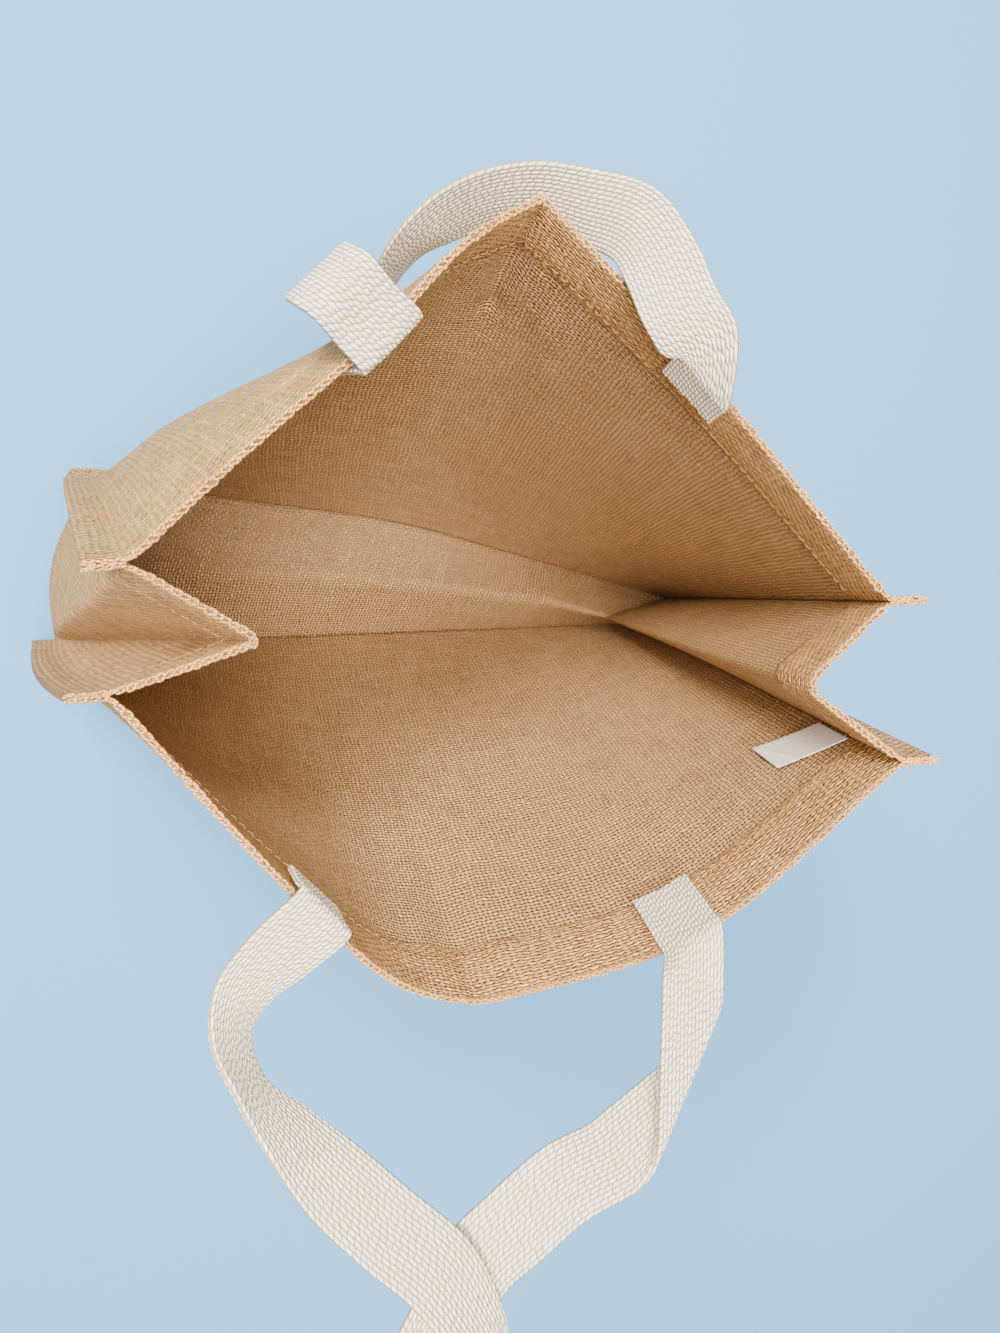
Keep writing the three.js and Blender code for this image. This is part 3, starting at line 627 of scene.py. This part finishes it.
past_mouth = np.where(along < STRIP_LENGTH / 2, -HEM_TURN - along, 2 * STRIP_LENGTH + HEM_TURN - along)
back_along = np.where(turned, past_mouth, along)
coated = np.where(turned, 0.0, 1.0)
rear = ease(across, *STRIP_SPOTS["across"]) * ease(along, *STRIP_SPOTS["start"])
spots = coated * rear * ease(along, *STRIP_SPOTS["end"])
place = across + STRIP_LOT
gusset_strip = sheet(
    "gusset_strip_cloth",
    (outer, inner),
    (np.stack((place, along), axis=-1), np.stack((place, back_along), axis=-1)),
    {"film": (np.zeros_like(along), coated), "light_spots": (np.zeros_like(along), spots)},
    (unit(strip_rows[0] - strip_rows[1]), unit(strip_rows[-1] - strip_rows[-2])),
)
gusset_strip.data.materials.append(jute)
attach(gusset_strip, "root")
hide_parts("gusset_strip")


# Jute yarn that shows as pieces of its own: the loops of weft that turn over every mouth edge, and the
# lines of sewing along the hem and the seams, in a twisted thread of the same jute.
LOOP_PITCH, LOOP_YARN = 3.2, 0.46  # spacing of the loops, radius of their yarn
LOOP_SPAN, LOOP_STRETCH = 0.68, 0.56  # a loop's half sizes, as shares of the hem's and of the pitch
LOOP_LIFT, LOOP_ROLL, LOOP_DIP = 0.15, 0.35, 0.55  # height on the edge, lean, and fall of its two sides
LOOP_UNEVEN, LIFT_UNEVEN, YARN_UNEVEN = 0.16, 0.12, 0.1
STITCH_PITCH, STITCH_LENGTH, STITCH_THREAD = 4.4, 3.0, 0.22
STITCH_RISE, STITCH_SINK, STITCH_ARC = 0.42, 0.12, 1.15 * math.pi  # how a stitch stands on the cloth
STITCH_SLANT, STITCH_UNEVEN, SLANT_UNEVEN = 0.12, 0.2, 0.05
HEM_STITCH, SEAM_STITCH = 25, 2.6  # sewing below the mouth, and from a seam out into its margin
SEWING_INSET, SEWING_FOOT = 3, 0.02  # where it ends: mm from a side seam, share of the height

twist, paint, surface = finish_material("jute_yarn", Specular_IOR_Level=0.2)
place, sides = on_cloth(paint)
ply = (sides * 2000 * math.pi + sides.of("Y") * 3600).math("SINE")
spot = paint.node("TexCoord", output="Object")
fuzz, lot = spot.noise(420.0, 3.0, "3D"), spot.noise(55.0, 2.0, "3D")
colour = (fuzz * 0.8 + lot - 0.5).mix(JUTE_STRAW, JUTE_PALE)
# Painted shade: the grooves between the yarn's plies, low in its bump, take the brown tone
colour = ply.step(-1.0, -0.2).mix(JUTE_BROWN, colour)
surface(Base_Color=colour, Roughness=0.8 + 0.18 * fuzz, Normal=(ply * 0.5 + fuzz).bump(0.8, 0.0003))


def yarns(name, paths, sizes, material, sides=6):
    # Many short lengths of yarn: paths is lengths x points x 3, sizes the yarn's radius at each point
    paths = np.asarray(paths, float)
    count, length = paths.shape[:2]
    tangent = unit(np.gradient(paths, axis=1))
    bend = np.cross(tangent[:, :-1], tangent[:, 1:]).sum(axis=1, keepdims=True)
    across = unit(np.cross(tangent, bend))
    other = np.cross(tangent, across)
    turns = np.linspace(0, 2 * math.pi, sides, endpoint=False)[:, None]
    ring = across[:, :, None] * np.cos(turns) + other[:, :, None] * np.sin(turns)
    points = paths[:, :, None] + ring * np.asarray(sizes, float)[..., None, None]
    n, p, s = np.meshgrid(np.arange(count), np.arange(length - 1), np.arange(sides), indexing="ij")
    a = (n * length + p) * sides + s
    b = (n * length + p) * sides + (s + 1) % sides
    faces = np.stack((a, b, b + sides, a + sides), axis=-1).reshape(-1, 4).tolist()
    for k in range(count):
        start = k * length * sides
        faces.append(list(range(start + sides - 1, start - 1, -1)))
        faces.append([start + (length - 1) * sides + s for s in range(sides)])
    travel = np.cumsum(np.linalg.norm(np.diff(paths, axis=1, prepend=paths[:, :1]), axis=-1), axis=1)
    flat = np.stack(np.broadcast_arrays(np.arange(sides) / sides, travel[..., None]), axis=-1)
    made = add_mesh(name, points, faces, flat, sharp=math.radians(80))
    made.data.materials.append(material)
    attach(made, "root")
    return made


def travelled(points):
    # Length of a line of points from its start to each of them
    return np.concatenate(([0], np.cumsum(np.linalg.norm(np.diff(points, axis=0), axis=1))))


def pick(values, travel, at):
    # Values given along a line, read at other places on it
    return np.stack([np.interp(at, travel, column) for column in np.asarray(values, float).T], axis=-1)


def edge_loops(name, tops, ups, ins, thickness, seed):
    # Small loops in a chain along an edge: its top points in order, the ways up and in, and the layer's
    # reach on both sides. Each loop lies over the edge and leans on the next one.
    travel = travelled(tops)
    spots = np.arange(LOOP_PITCH / 2, travel[-1], LOOP_PITCH)
    chance = np.random.default_rng(seed)
    spots = spots + chance.normal(0, LOOP_UNEVEN, len(spots))

    def one(spread):
        return chance.normal(0, spread, len(spots))[:, None, None]

    top, up, way = pick(tops, travel, spots), unit(pick(ups, travel, spots)), unit(pick(ins, travel, spots))
    reach = pick(np.stack(thickness, axis=1), travel, spots)
    middle = ((reach[:, 1] - reach[:, 0]) / 2)[:, None, None]
    half = ((reach[:, 1] + reach[:, 0]) / 2)[:, None, None] * LOOP_SPAN + one(LOOP_UNEVEN)
    along = unit(np.gradient(top, axis=0))
    turn = np.linspace(0, 2 * math.pi, 14)[None, :, None]
    stretch = LOOP_PITCH * LOOP_STRETCH + one(LOOP_UNEVEN)
    rise = LOOP_LIFT + LOOP_ROLL * np.cos(turn) - LOOP_DIP * np.sin(turn) ** 2 + one(LIFT_UNEVEN)
    side = middle + half * np.sin(turn) + LOOP_ROLL * np.cos(turn)
    paths = top[:, None] + up[:, None] * rise + way[:, None] * side + along[:, None] * stretch * np.cos(turn)
    sizes = np.full(paths.shape[:2], LOOP_YARN) * (1 + one(YARN_UNEVEN)[:, :, 0])
    return yarns(name, paths, sizes, twist)


def stitch_line(points, ins, seed):
    # Stitches along a line on the cloth: each dips into it at both ends
    travel = travelled(points)
    spots = np.arange(STITCH_PITCH, travel[-1] - STITCH_PITCH / 2, STITCH_PITCH)
    chance = np.random.default_rng(seed)
    steps = np.linspace(-0.5, 0.5, 7)
    at = spots[:, None] + steps * (STITCH_LENGTH + chance.normal(0, STITCH_UNEVEN, len(spots)))[:, None]
    way = unit(pick(ins, travel, at))
    lift = STITCH_RISE * np.cos(steps * STITCH_ARC) - STITCH_SINK
    path = pick(points, travel, at) + way * lift[:, None]
    cross = unit(np.cross(way, np.gradient(path, axis=1)))
    slant = (STITCH_SLANT + chance.normal(0, SLANT_UNEVEN, len(spots)))[:, None]
    return path + cross * (slant * steps * STITCH_LENGTH)[..., None]


def mouth_reach(across, width):
    # How far the layers at a mouth reach out of the bag and into it
    return np.full_like(across, JUTE / 2), JUTE / 2 + JUTE * hem_taper(across, width)


def mouth_of(panel):
    across = PANEL_COLUMNS
    side = np.clip(across, 0, PANEL_WIDTH)
    tops = panel.cloth(across, np.ones_like(across), np.zeros_like(across))
    ups = unit(panel.rise(side, 1.0))
    ins = unit(np.cross(np.gradient(tops, axis=0), ups)) * panel.outward
    return tops, ups, ins, mouth_reach(across, PANEL_WIDTH)


def strip_mouth(row, row_below):
    ups = unit(strip_rows[row] - strip_rows[row_below])
    return strip_rows[row] + ups * EDGE_ROUND, ups, strip_in[row], mouth_reach(strip_across, STRIP_WIDTH)


back_loops = edge_loops("back_mouth_loops", *mouth_of(BACK), seed=3)
front_loops = edge_loops("front_mouth_loops", *mouth_of(FRONT), seed=4)
left_loops = edge_loops("left_mouth_loops", *strip_mouth(0, 1), seed=5)
right_loops = edge_loops("right_mouth_loops", *strip_mouth(-1, -2), seed=6)


def sewing(name, lines):
    paths = np.concatenate(lines)
    return yarns(name, paths, np.full(paths.shape[:2], STITCH_THREAD), twist, sides=5)


def panel_sewing(name, panel, seed):
    # The hem's line on both faces, and the seam's line down one side, along the foot and up the other
    across = np.linspace(SEWING_INSET, PANEL_WIDTH - SEWING_INSET, 160)
    up = np.full_like(across, 1 - HEM_STITCH / PANEL_HEIGHT)
    inward = panel.inner_way(across, up)
    sag = panel.sag(across, up)
    reach_out, reach_in = mouth_reach(across, PANEL_WIDTH)
    hem_in = panel.inside(reach_in + sag, across, up)
    hem_out = panel.inside(sag - reach_out, across, up)
    lines = [stitch_line(hem_in, inward, seed), stitch_line(hem_out, -inward, seed + 1)]
    ups = np.linspace(1, SEWING_FOOT, 140)
    for side, out in ((0, -SEAM_STITCH), (PANEL_WIDTH, PANEL_WIDTH + SEAM_STITCH)):
        seam = np.full_like(ups, side)
        path = panel.cloth(np.full_like(ups, out), ups, np.zeros_like(ups))
        way = unit(np.cross(panel.margin_way(seam, ups), np.gradient(path, axis=0)))
        way = way * np.sign(dot(way, -panel.inner_way(seam, ups)))
        lines.append(stitch_line(path + way * JUTE / 2, way, seed + 2))
    path = panel.cloth(across, np.zeros_like(across), np.full_like(across, SEAM_STITCH))
    way = unit(np.cross(panel.foot_way(across), np.gradient(path, axis=0)))
    way = way * np.sign(dot(way, -panel.inner_way(across, SEWING_FOOT)))
    lines.append(stitch_line(path + way * JUTE / 2, way, seed + 3))
    return sewing(name, lines)


back_sewing = panel_sewing("back_sewing", BACK, 11)
front_sewing = panel_sewing("front_sewing", FRONT, 21)
lines = []
wall = slice(MARGIN_POINTS + 1, -MARGIN_POINTS - 1)
for height in (HEM_STITCH, STRIP_LENGTH - HEM_STITCH):
    row = int(np.argmin(np.abs(np.array(strip_along) - height)))
    lines.append(stitch_line(inner[row, wall], strip_in[row, wall], 31 + row))
    lines.append(stitch_line(outer[row, wall], -strip_in[row, wall], 32 + row))
strip_sewing = sewing("strip_sewing", lines)


# The two handles: off-white cotton webbing 26 mm wide, woven thick with rows of rounded floats. Their raw
# ends are sewn flat to the inside of the hem, and the free length twists and falls as it likes.
WEB_WIDTH, WEB_THICKNESS = 26, 2.4
WEB_SEWN = {"back": (28, 13), "front": (13, 28)}  # sewn lengths of the left and right ends
WEB_TOP, WEB_RISE = 1, 5  # a sewn end is held to just below the mouth and leaves it above
WEB_GAP = 1.2  # air between the hem and a sewn end
HANDLE_INSET = 103  # side seam to the middle of a sewn end
WEB_SIDES = np.linspace(-1, 1, 45)
WEB_STEP = 0.62  # spacing of the mesh rows along a web
WEB_EDGE, WEB_EDGE_THIN = 0.9, 0.85  # the web thins past this share of its half width, by this much
FLOAT_WIDTH, FLOAT_LENGTH, FLOAT_RELIEF, FLOAT_SLANT = 1.53, 2.9, 0.45, 0.2
FLOAT_CROWN = 0.6  # roundness of a float
FLOAT_WANDER = 0.2  # share of a float's length by which the columns wander
WANDER_COLUMN, WANDER_RUN = (5.1, 2.7), (0.137, 0.291)  # two waves: change by column, and along it in mm
COTTON_LIGHT = tone(255, 248, 230)
COTTON_SHADE = tone(244, 228, 200)
# Painted shade for the low gaps round each float
COTTON_GAP_SHADE = tone(176, 150, 116)
COTTON_SPECK = tone(150, 122, 92)

# Middle of each handle from its left to its right end. Columns: x, y, z, turn and lift of the width
BACK_HANDLE = (
    (-21, 108, 331, 42, 0),
    (-28, 115, 335, 42, 0),
    (-33, 119, 331, 42, 0),
    (-35, 123, 318, 42, 0),
    (-32, 127, 298, 44, 0),
    (-29, 131, 275, 48, 0),
    (-27, 136, 252, 54, 0),
    (-26, 142, 228, 62, 0),
    (-25, 147, 206, 68, 0),
    (-25, 151, 184, 72, 0),
    (-24, 154, 163, 75, 0),
    (-18, 155, 149, 76, 0),
    (-8, 153, 148, 76, 0),
    (-2, 150, 161, 74, 0),
    (-1, 147, 181, 68, -4),
    (-1, 145, 203, 56, -10),
    (-1, 145, 223, 42, -20),
    (1, 148, 241, 22, -36),
    (7, 152, 256, -10, -58),
    (17, 157, 267, -40, -58),
    (30, 160, 278, -55, -56),
    (45, 159, 287, -80, -55),
    (59, 153, 296, -104, -50),
    (72, 143, 312, -130, -36),
    (78, 129, 321, -150, -26),
    (83, 114, 326, 172, -26),
    (90, 102, 328, 140, -18),
)
FRONT_HANDLE = (
    (-57, -99, 326, -54, -12),
    (-69, -111, 326, -53, -29),
    (-74, -125, 329, -53, -47),
    (-69, -139, 336, -50, -60),
    (-57, -152, 344, -18, -49),
    (-43, -166, 352, 15, -34),
    (-27, -179, 361, 30, -27),
    (-10, -192, 370, 34, -38),
    (0, -207, 377, 25, -55),
    (7, -223, 380, 12, -70),
    (12, -240, 381, 0, -82),
    (11, -257, 379, 0, -88),
    (1, -269, 376, 0, -90),
    (-14, -270, 372, 0, -88),
    (-25, -259, 368, 0, -75),
    (-25, -243, 364, 0, -50),
    (-17, -228, 361, -15, -20),
    (-6, -215, 359, -33, 6),
    (3, -199, 359, -45, 22),
    (16, -187, 360, -54, 30),
    (33, -175, 359, -59, 34),
)
# The front handle's soft fold: its middle, the way its width points, its slant, bend and radius
FRONT_FOLD = {"middle": (84, -146, 344.0), "turn": 175, "lift": 13, "slant": 25, "bend": 155, "radius": 3.4}
FOLD_STATIONS = np.linspace(45, -27, 13)


def float_rows(side, along, floor, sine):
    # The web's staggered floats, for numbers or Shades of places in mm: the column and row of a float, and
    # its arch over its width and over its length, 1 in the middle and 0 at the rim
    column = side / FLOAT_WIDTH
    number = floor(column)
    over = 2 * (column - number) - 1
    stray = sine(number * WANDER_COLUMN[0] + along * WANDER_RUN[0])
    stray = stray + sine(number * WANDER_COLUMN[1] - along * WANDER_RUN[1])
    row = along / FLOAT_LENGTH + number * 0.5 + over * FLOAT_SLANT + stray * FLOAT_WANDER
    length = 2 * (row - floor(row)) - 1
    return number, floor(row), 1 - over * over, 1 - length * length


cotton, paint, surface = finish_material("cotton_web", Specular_IOR_Level=0.2)
place, sides = on_cloth(paint)
number, row, over, length = float_rows(
    sides * 1000, sides.of("Y") * 1000, lambda shade: shade.math("FLOOR"), lambda shade: shade.math("SINE")
)
crown = (over.math("MAXIMUM", 0.0) * length.math("MAXIMUM", 0.0)).math("POWER", FLOAT_CROWN)
spot = paint.node("CombineXYZ", inputs={0: number, 1: row})
lot = paint.node("TexWhiteNoise", {"noise_dimensions": "2D"}, {"Vector": spot})
strand, speck = place.noise(2200.0, 2.0), place.noise(420.0, 2.0)
colour = (lot * 0.6 + strand * 0.6 - 0.1).mix(COTTON_SHADE, COTTON_LIGHT)
# Painted shade: each float darkens towards its rim, into the gaps between floats
colour = crown.step(0.0, 0.75).mix(COTTON_GAP_SHADE, colour)
colour = (speck.step(0.68, 0.76) * 0.35).mix(colour, COTTON_SPECK)
surface(Base_Color=colour, Roughness=0.82 + 0.15 * strand, Normal=(crown + strand * 0.3).bump(0.9, 0.0009))


def width_way(turn, lift):
    # The way the web's width points, from its turn about Z and its lift in degrees
    turn, lift = math.radians(turn), math.radians(lift)
    return np.array((math.cos(lift) * math.cos(turn), math.cos(lift) * math.sin(turn), math.sin(lift)))


def sewn_sections(panel, middle, flip, sewn):
    # Sections where a handle is sewn to the hem, from its raw end up past the mouth
    layer = JUTE * 1.5 + WEB_GAP + WEB_THICKNESS / 2
    across = middle + flip * WEB_SIDES * WEB_WIDTH / 2
    ups = [1 - drop / PANEL_HEIGHT for drop in (sewn, sewn / 2, WEB_TOP, -WEB_RISE)]
    return [panel.inside(np.full_like(across, layer), across, np.full_like(across, up)) for up in ups]


def fold_sections(fold, end):
    # The web runs flat to the fold, round its bend and flat away behind it
    middle = np.array(fold["middle"])
    away = unit(middle - end)
    width = width_way(fold["turn"], fold["lift"])
    width = unit(width - away * width.dot(away))
    face = np.cross(width, away)
    slant, bend, radius = math.radians(fold["slant"]), math.radians(fold["bend"]), fold["radius"]
    axis = away * math.cos(slant) + width * math.sin(slant)
    across = away * math.sin(slant) - width * math.cos(slant)
    out = (WEB_SIDES * WEB_WIDTH / 2)[:, None]
    made = []
    for run in FOLD_STATIONS:
        past = math.sin(slant) * run - math.cos(slant) * out
        angle = np.clip(past / radius, 0, bend)
        flat = past - angle * radius
        point = middle + axis * (math.cos(slant) * run + math.sin(slant) * out)
        point = point + across * (radius * np.sin(angle) + flat * np.cos(angle))
        made.append(point - face * (radius * (1 - np.cos(angle)) + flat * np.sin(angle)))
    return made


def smooth_rows(sections, steps=14):
    # Centripetal curves through the sections, one for each place across the web
    points = np.array(sections)
    points = np.concatenate((2 * points[:1] - points[1:2], points, 2 * points[-1:] - points[-2:-1]))
    knots = np.sqrt(np.linalg.norm(np.diff(points, axis=0), axis=-1, keepdims=True))
    x0, x1, x2, x3 = points[:-3], points[1:-2], points[2:-1], points[3:]
    d0, d1, d2 = knots[:-2], knots[1:-1], knots[2:]
    t1 = ((x1 - x0) / d0 - (x2 - x0) / (d0 + d1) + (x2 - x1) / d1) * d1
    t2 = ((x2 - x1) / d1 - (x3 - x1) / (d1 + d2) + (x3 - x2) / d2) * d1
    rows = []
    for t in np.linspace(0, 1, steps, endpoint=False):
        rows.append(x1 + t1 * t + (3 * (x2 - x1) - 2 * t1 - t2) * t**2 + (2 * (x1 - x2) + t1 + t2) * t**3)
    rows = np.stack(rows, axis=1).reshape(-1, points.shape[1], 3)
    return np.concatenate((rows, points[-2:-1]))


def handle_piece(name, panel, table, sewn, fold=None):
    # One handle: sewn at its left end, free over the table's points, folded or not, and sewn at its right
    start = sewn_sections(panel, HANDLE_INSET, 1, sewn[0])
    end = sewn_sections(panel, PANEL_WIDTH - HANDLE_INSET, -1, sewn[1])[::-1]
    centre = len(WEB_SIDES) // 2
    folded = fold_sections(fold, end[0][centre]) if fold else []
    middles = [start[-1][centre], *(np.array(row[:3], float) for row in table), (folded or end)[0][centre]]
    free = []
    for k, (_, _, _, turn, lift) in enumerate(table):
        along = unit(middles[k + 2] - middles[k])
        width = width_way(turn, lift)
        width = unit(width - along * width.dot(along))
        free.append(middles[k + 1] + width * (WEB_SIDES * WEB_WIDTH / 2)[:, None])
    rows = smooth_rows([*start, *free, *folded, *end])
    travel = travelled(rows[:, centre])
    stations = np.linspace(0, travel[-1], int(travel[-1] / WEB_STEP))
    rows = pick(rows.reshape(len(rows), -1), travel, stations).reshape(len(stations), -1, 3)
    side, along = np.meshgrid(WEB_SIDES * WEB_WIDTH / 2 + WEB_WIDTH / 2, stations)
    _, _, over, length = float_rows(side, along, np.floor, np.sin)
    crown = (np.clip(over, 0, 1) * np.clip(length, 0, 1)) ** FLOAT_CROWN
    edge = np.clip((np.abs(WEB_SIDES) - WEB_EDGE) / (1 - WEB_EDGE), 0, 1)
    body = WEB_THICKNESS / 2 - FLOAT_RELIEF + FLOAT_RELIEF * crown
    body = body * np.sqrt(1 - WEB_EDGE_THIN * edge**2)
    ways = mitres(rows)
    skins = (rows - ways * body[..., None], rows + ways * body[..., None])
    place = np.stack((side, along), axis=-1)
    made = sheet(name, skins, (place, place), {}, (None, None))
    made.data.materials.append(cotton)
    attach(made, "root")
    return made, travel[-1] / 1000


back_handle, back_length = handle_piece("back_handle_web", BACK, BACK_HANDLE, WEB_SEWN["back"])
front_handle, front_length = handle_piece(
    "front_handle_web", FRONT, FRONT_HANDLE, WEB_SEWN["front"], FRONT_FOLD
)
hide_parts("back_handle")
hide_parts("front_handle")


# The care label: a bare white satin tape caught in the right side seam below the hem, lying on the front
# panel with its free end curled up a little.
LABEL_LENGTH, LABEL_WIDTH, LABEL_THICKNESS = 28, 23, 0.8
LABEL_DROP, LABEL_CLEAR = 34.5, 2  # below the mouth, and from the seam
LABEL_TILT, LABEL_GAP = 0.5, 0.9  # fall towards the free end, air under the sewn end
LABEL_CURL = 1.5  # rise of the free end
LABEL_SKIN = 0.4 * LABEL_THICKNESS  # the tape is thinner than the room kept for it
LABEL_CREASE = {"at": 18, "slant": 0.45, "width": 1.1, "height": 0.5, "start": (12, 24)}
SATIN_SHADE, SATIN_LIGHT = tone(216, 200, 188), tone(244, 236, 228)
SATIN_WEFT = 0.42  # spacing of its weft

satin, paint, surface = finish_material(
    "label_satin", Specular_IOR_Level=0.45, Sheen_Weight=0.2, Sheen_Roughness=0.35
)
place, sides = on_cloth(paint)
weft = (sides.of("Y") * (2000 * math.pi / SATIN_WEFT)).math("SINE")
slip = place.noise(700.0, 3.0)
colour = (slip * 0.8 + weft * 0.12).mix(SATIN_SHADE, SATIN_LIGHT)
surface(Base_Color=colour, Roughness=0.42 + 0.2 * slip, Normal=(weft * 0.5 + slip).bump(0.5, 0.0001))

out, drop = np.meshgrid(np.linspace(0, LABEL_LENGTH, 57), np.linspace(0, LABEL_WIDTH, 33))
label_rest = JUTE / 2 + LABEL_GAP + LABEL_THICKNESS / 2 + LABEL_CURL * (out / LABEL_LENGTH) ** 2
off = (out - LABEL_CREASE["at"] - drop * LABEL_CREASE["slant"]) / LABEL_CREASE["width"]
label_rest += LABEL_CREASE["height"] * np.exp(-(off**2)) * ease(out, *LABEL_CREASE["start"])
label_up = 1 - (LABEL_DROP + drop + LABEL_TILT * out) / PANEL_HEIGHT
label_rows = FRONT.inside(label_rest, PANEL_WIDTH - LABEL_CLEAR - out, label_up)
label_ways = mitres(label_rows)
place = np.stack((out, drop), axis=-1)
skins = (label_rows - label_ways * LABEL_SKIN, label_rows + label_ways * LABEL_SKIN)
care_label = sheet("care_label_tape", skins, (place, place), {}, (None, None))
care_label.data.materials.append(satin)
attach(care_label, "root")
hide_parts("care_label")


# The studio: a plain pale blue floor of paper, two large soft lamps, one high behind the bag and one above
# it, and an even fill. The camera looks down into the mouth from above.
CAMERA_PLACE = (-0.04344, 0.09769, 0.6386)
CAMERA_RIGHT, CAMERA_UP = np.array((0.98, -0.016, 0.196)), np.array((0.046, 0.988, -0.148))
CAMERA_LENS = 36 * 953 / 1333  # sensor in mm, focal length and picture height in pixels
KEY_LIGHT = {"place": (-0.7, 1.25, 1.85), "size": 0.8, "power": 88}
TOP_LIGHT = {"place": (0.0, 0.1, 1.9), "size": 0.9, "power": 74}
LAMP_TONE, LAMP_AIM = (1.0, 0.95, 0.88), (0, 0, 0.2)
FILL_TONE, FILL_STRENGTH = (1.0, 0.97, 0.93, 1), 1.08
FLOOR_REACH, FLOOR_LEVEL = 6.0, -0.0004  # metres; just under the bag's lowest edges
FLOOR_BLUE, FLOOR_BLUER = tone(110, 170, 223), tone(106, 167, 220)

floor_mesh = bpy.data.meshes.new("studio_floor")
corners = [(x * FLOOR_REACH, y * FLOOR_REACH, FLOOR_LEVEL) for x, y in ((-1, -1), (1, -1), (1, 1), (-1, 1))]
floor_mesh.from_pydata(corners, [], [(0, 1, 2, 3)])
studio_floor = bpy.data.objects.new("studio_floor", floor_mesh)
bpy.context.scene.collection.objects.link(studio_floor)
paper, paint, surface = finish_material("floor_paper", Roughness=0.95, Specular_IOR_Level=0.1)
grain = paint.node("TexCoord", output="Object").noise(3.0, 2.0, "3D")
surface(Base_Color=(grain * 0.4).mix(FLOOR_BLUER, FLOOR_BLUE))
floor_mesh.materials.append(paper)


def stand(name, data, place, right, up):
    # A lamp or camera at its place, with its own sides turned right and up
    made = bpy.data.objects.new(name, data)
    made.matrix_world = Matrix(np.column_stack((right, up, np.cross(right, up))).tolist()).to_4x4()
    made.location = place
    bpy.context.scene.collection.objects.link(made)
    return made


for name, light in (("key_light", KEY_LIGHT), ("top_light", TOP_LIGHT)):
    lamp = bpy.data.lights.new(name, "AREA")
    lamp.shape, lamp.size, lamp.energy, lamp.color = "DISK", light["size"], light["power"], LAMP_TONE
    way = unit(np.array(light["place"]) - np.array(LAMP_AIM))
    right = unit(np.cross((0, 0, 1.0), way))
    stand(name, lamp, light["place"], right, np.cross(way, right))
world = bpy.data.worlds.new("studio_fill")
world.use_nodes = True
fill = world.node_tree.nodes["Background"]
fill.inputs["Color"].default_value, fill.inputs["Strength"].default_value = FILL_TONE, FILL_STRENGTH
bpy.context.scene.world = world

lens = bpy.data.cameras.new("camera")
lens.lens = CAMERA_LENS
lens.clip_start = 0.01
right = unit(CAMERA_RIGHT)
up = unit(CAMERA_UP - right * right.dot(CAMERA_UP))
bpy.context.scene.camera = stand("camera", lens, CAMERA_PLACE, right, up)
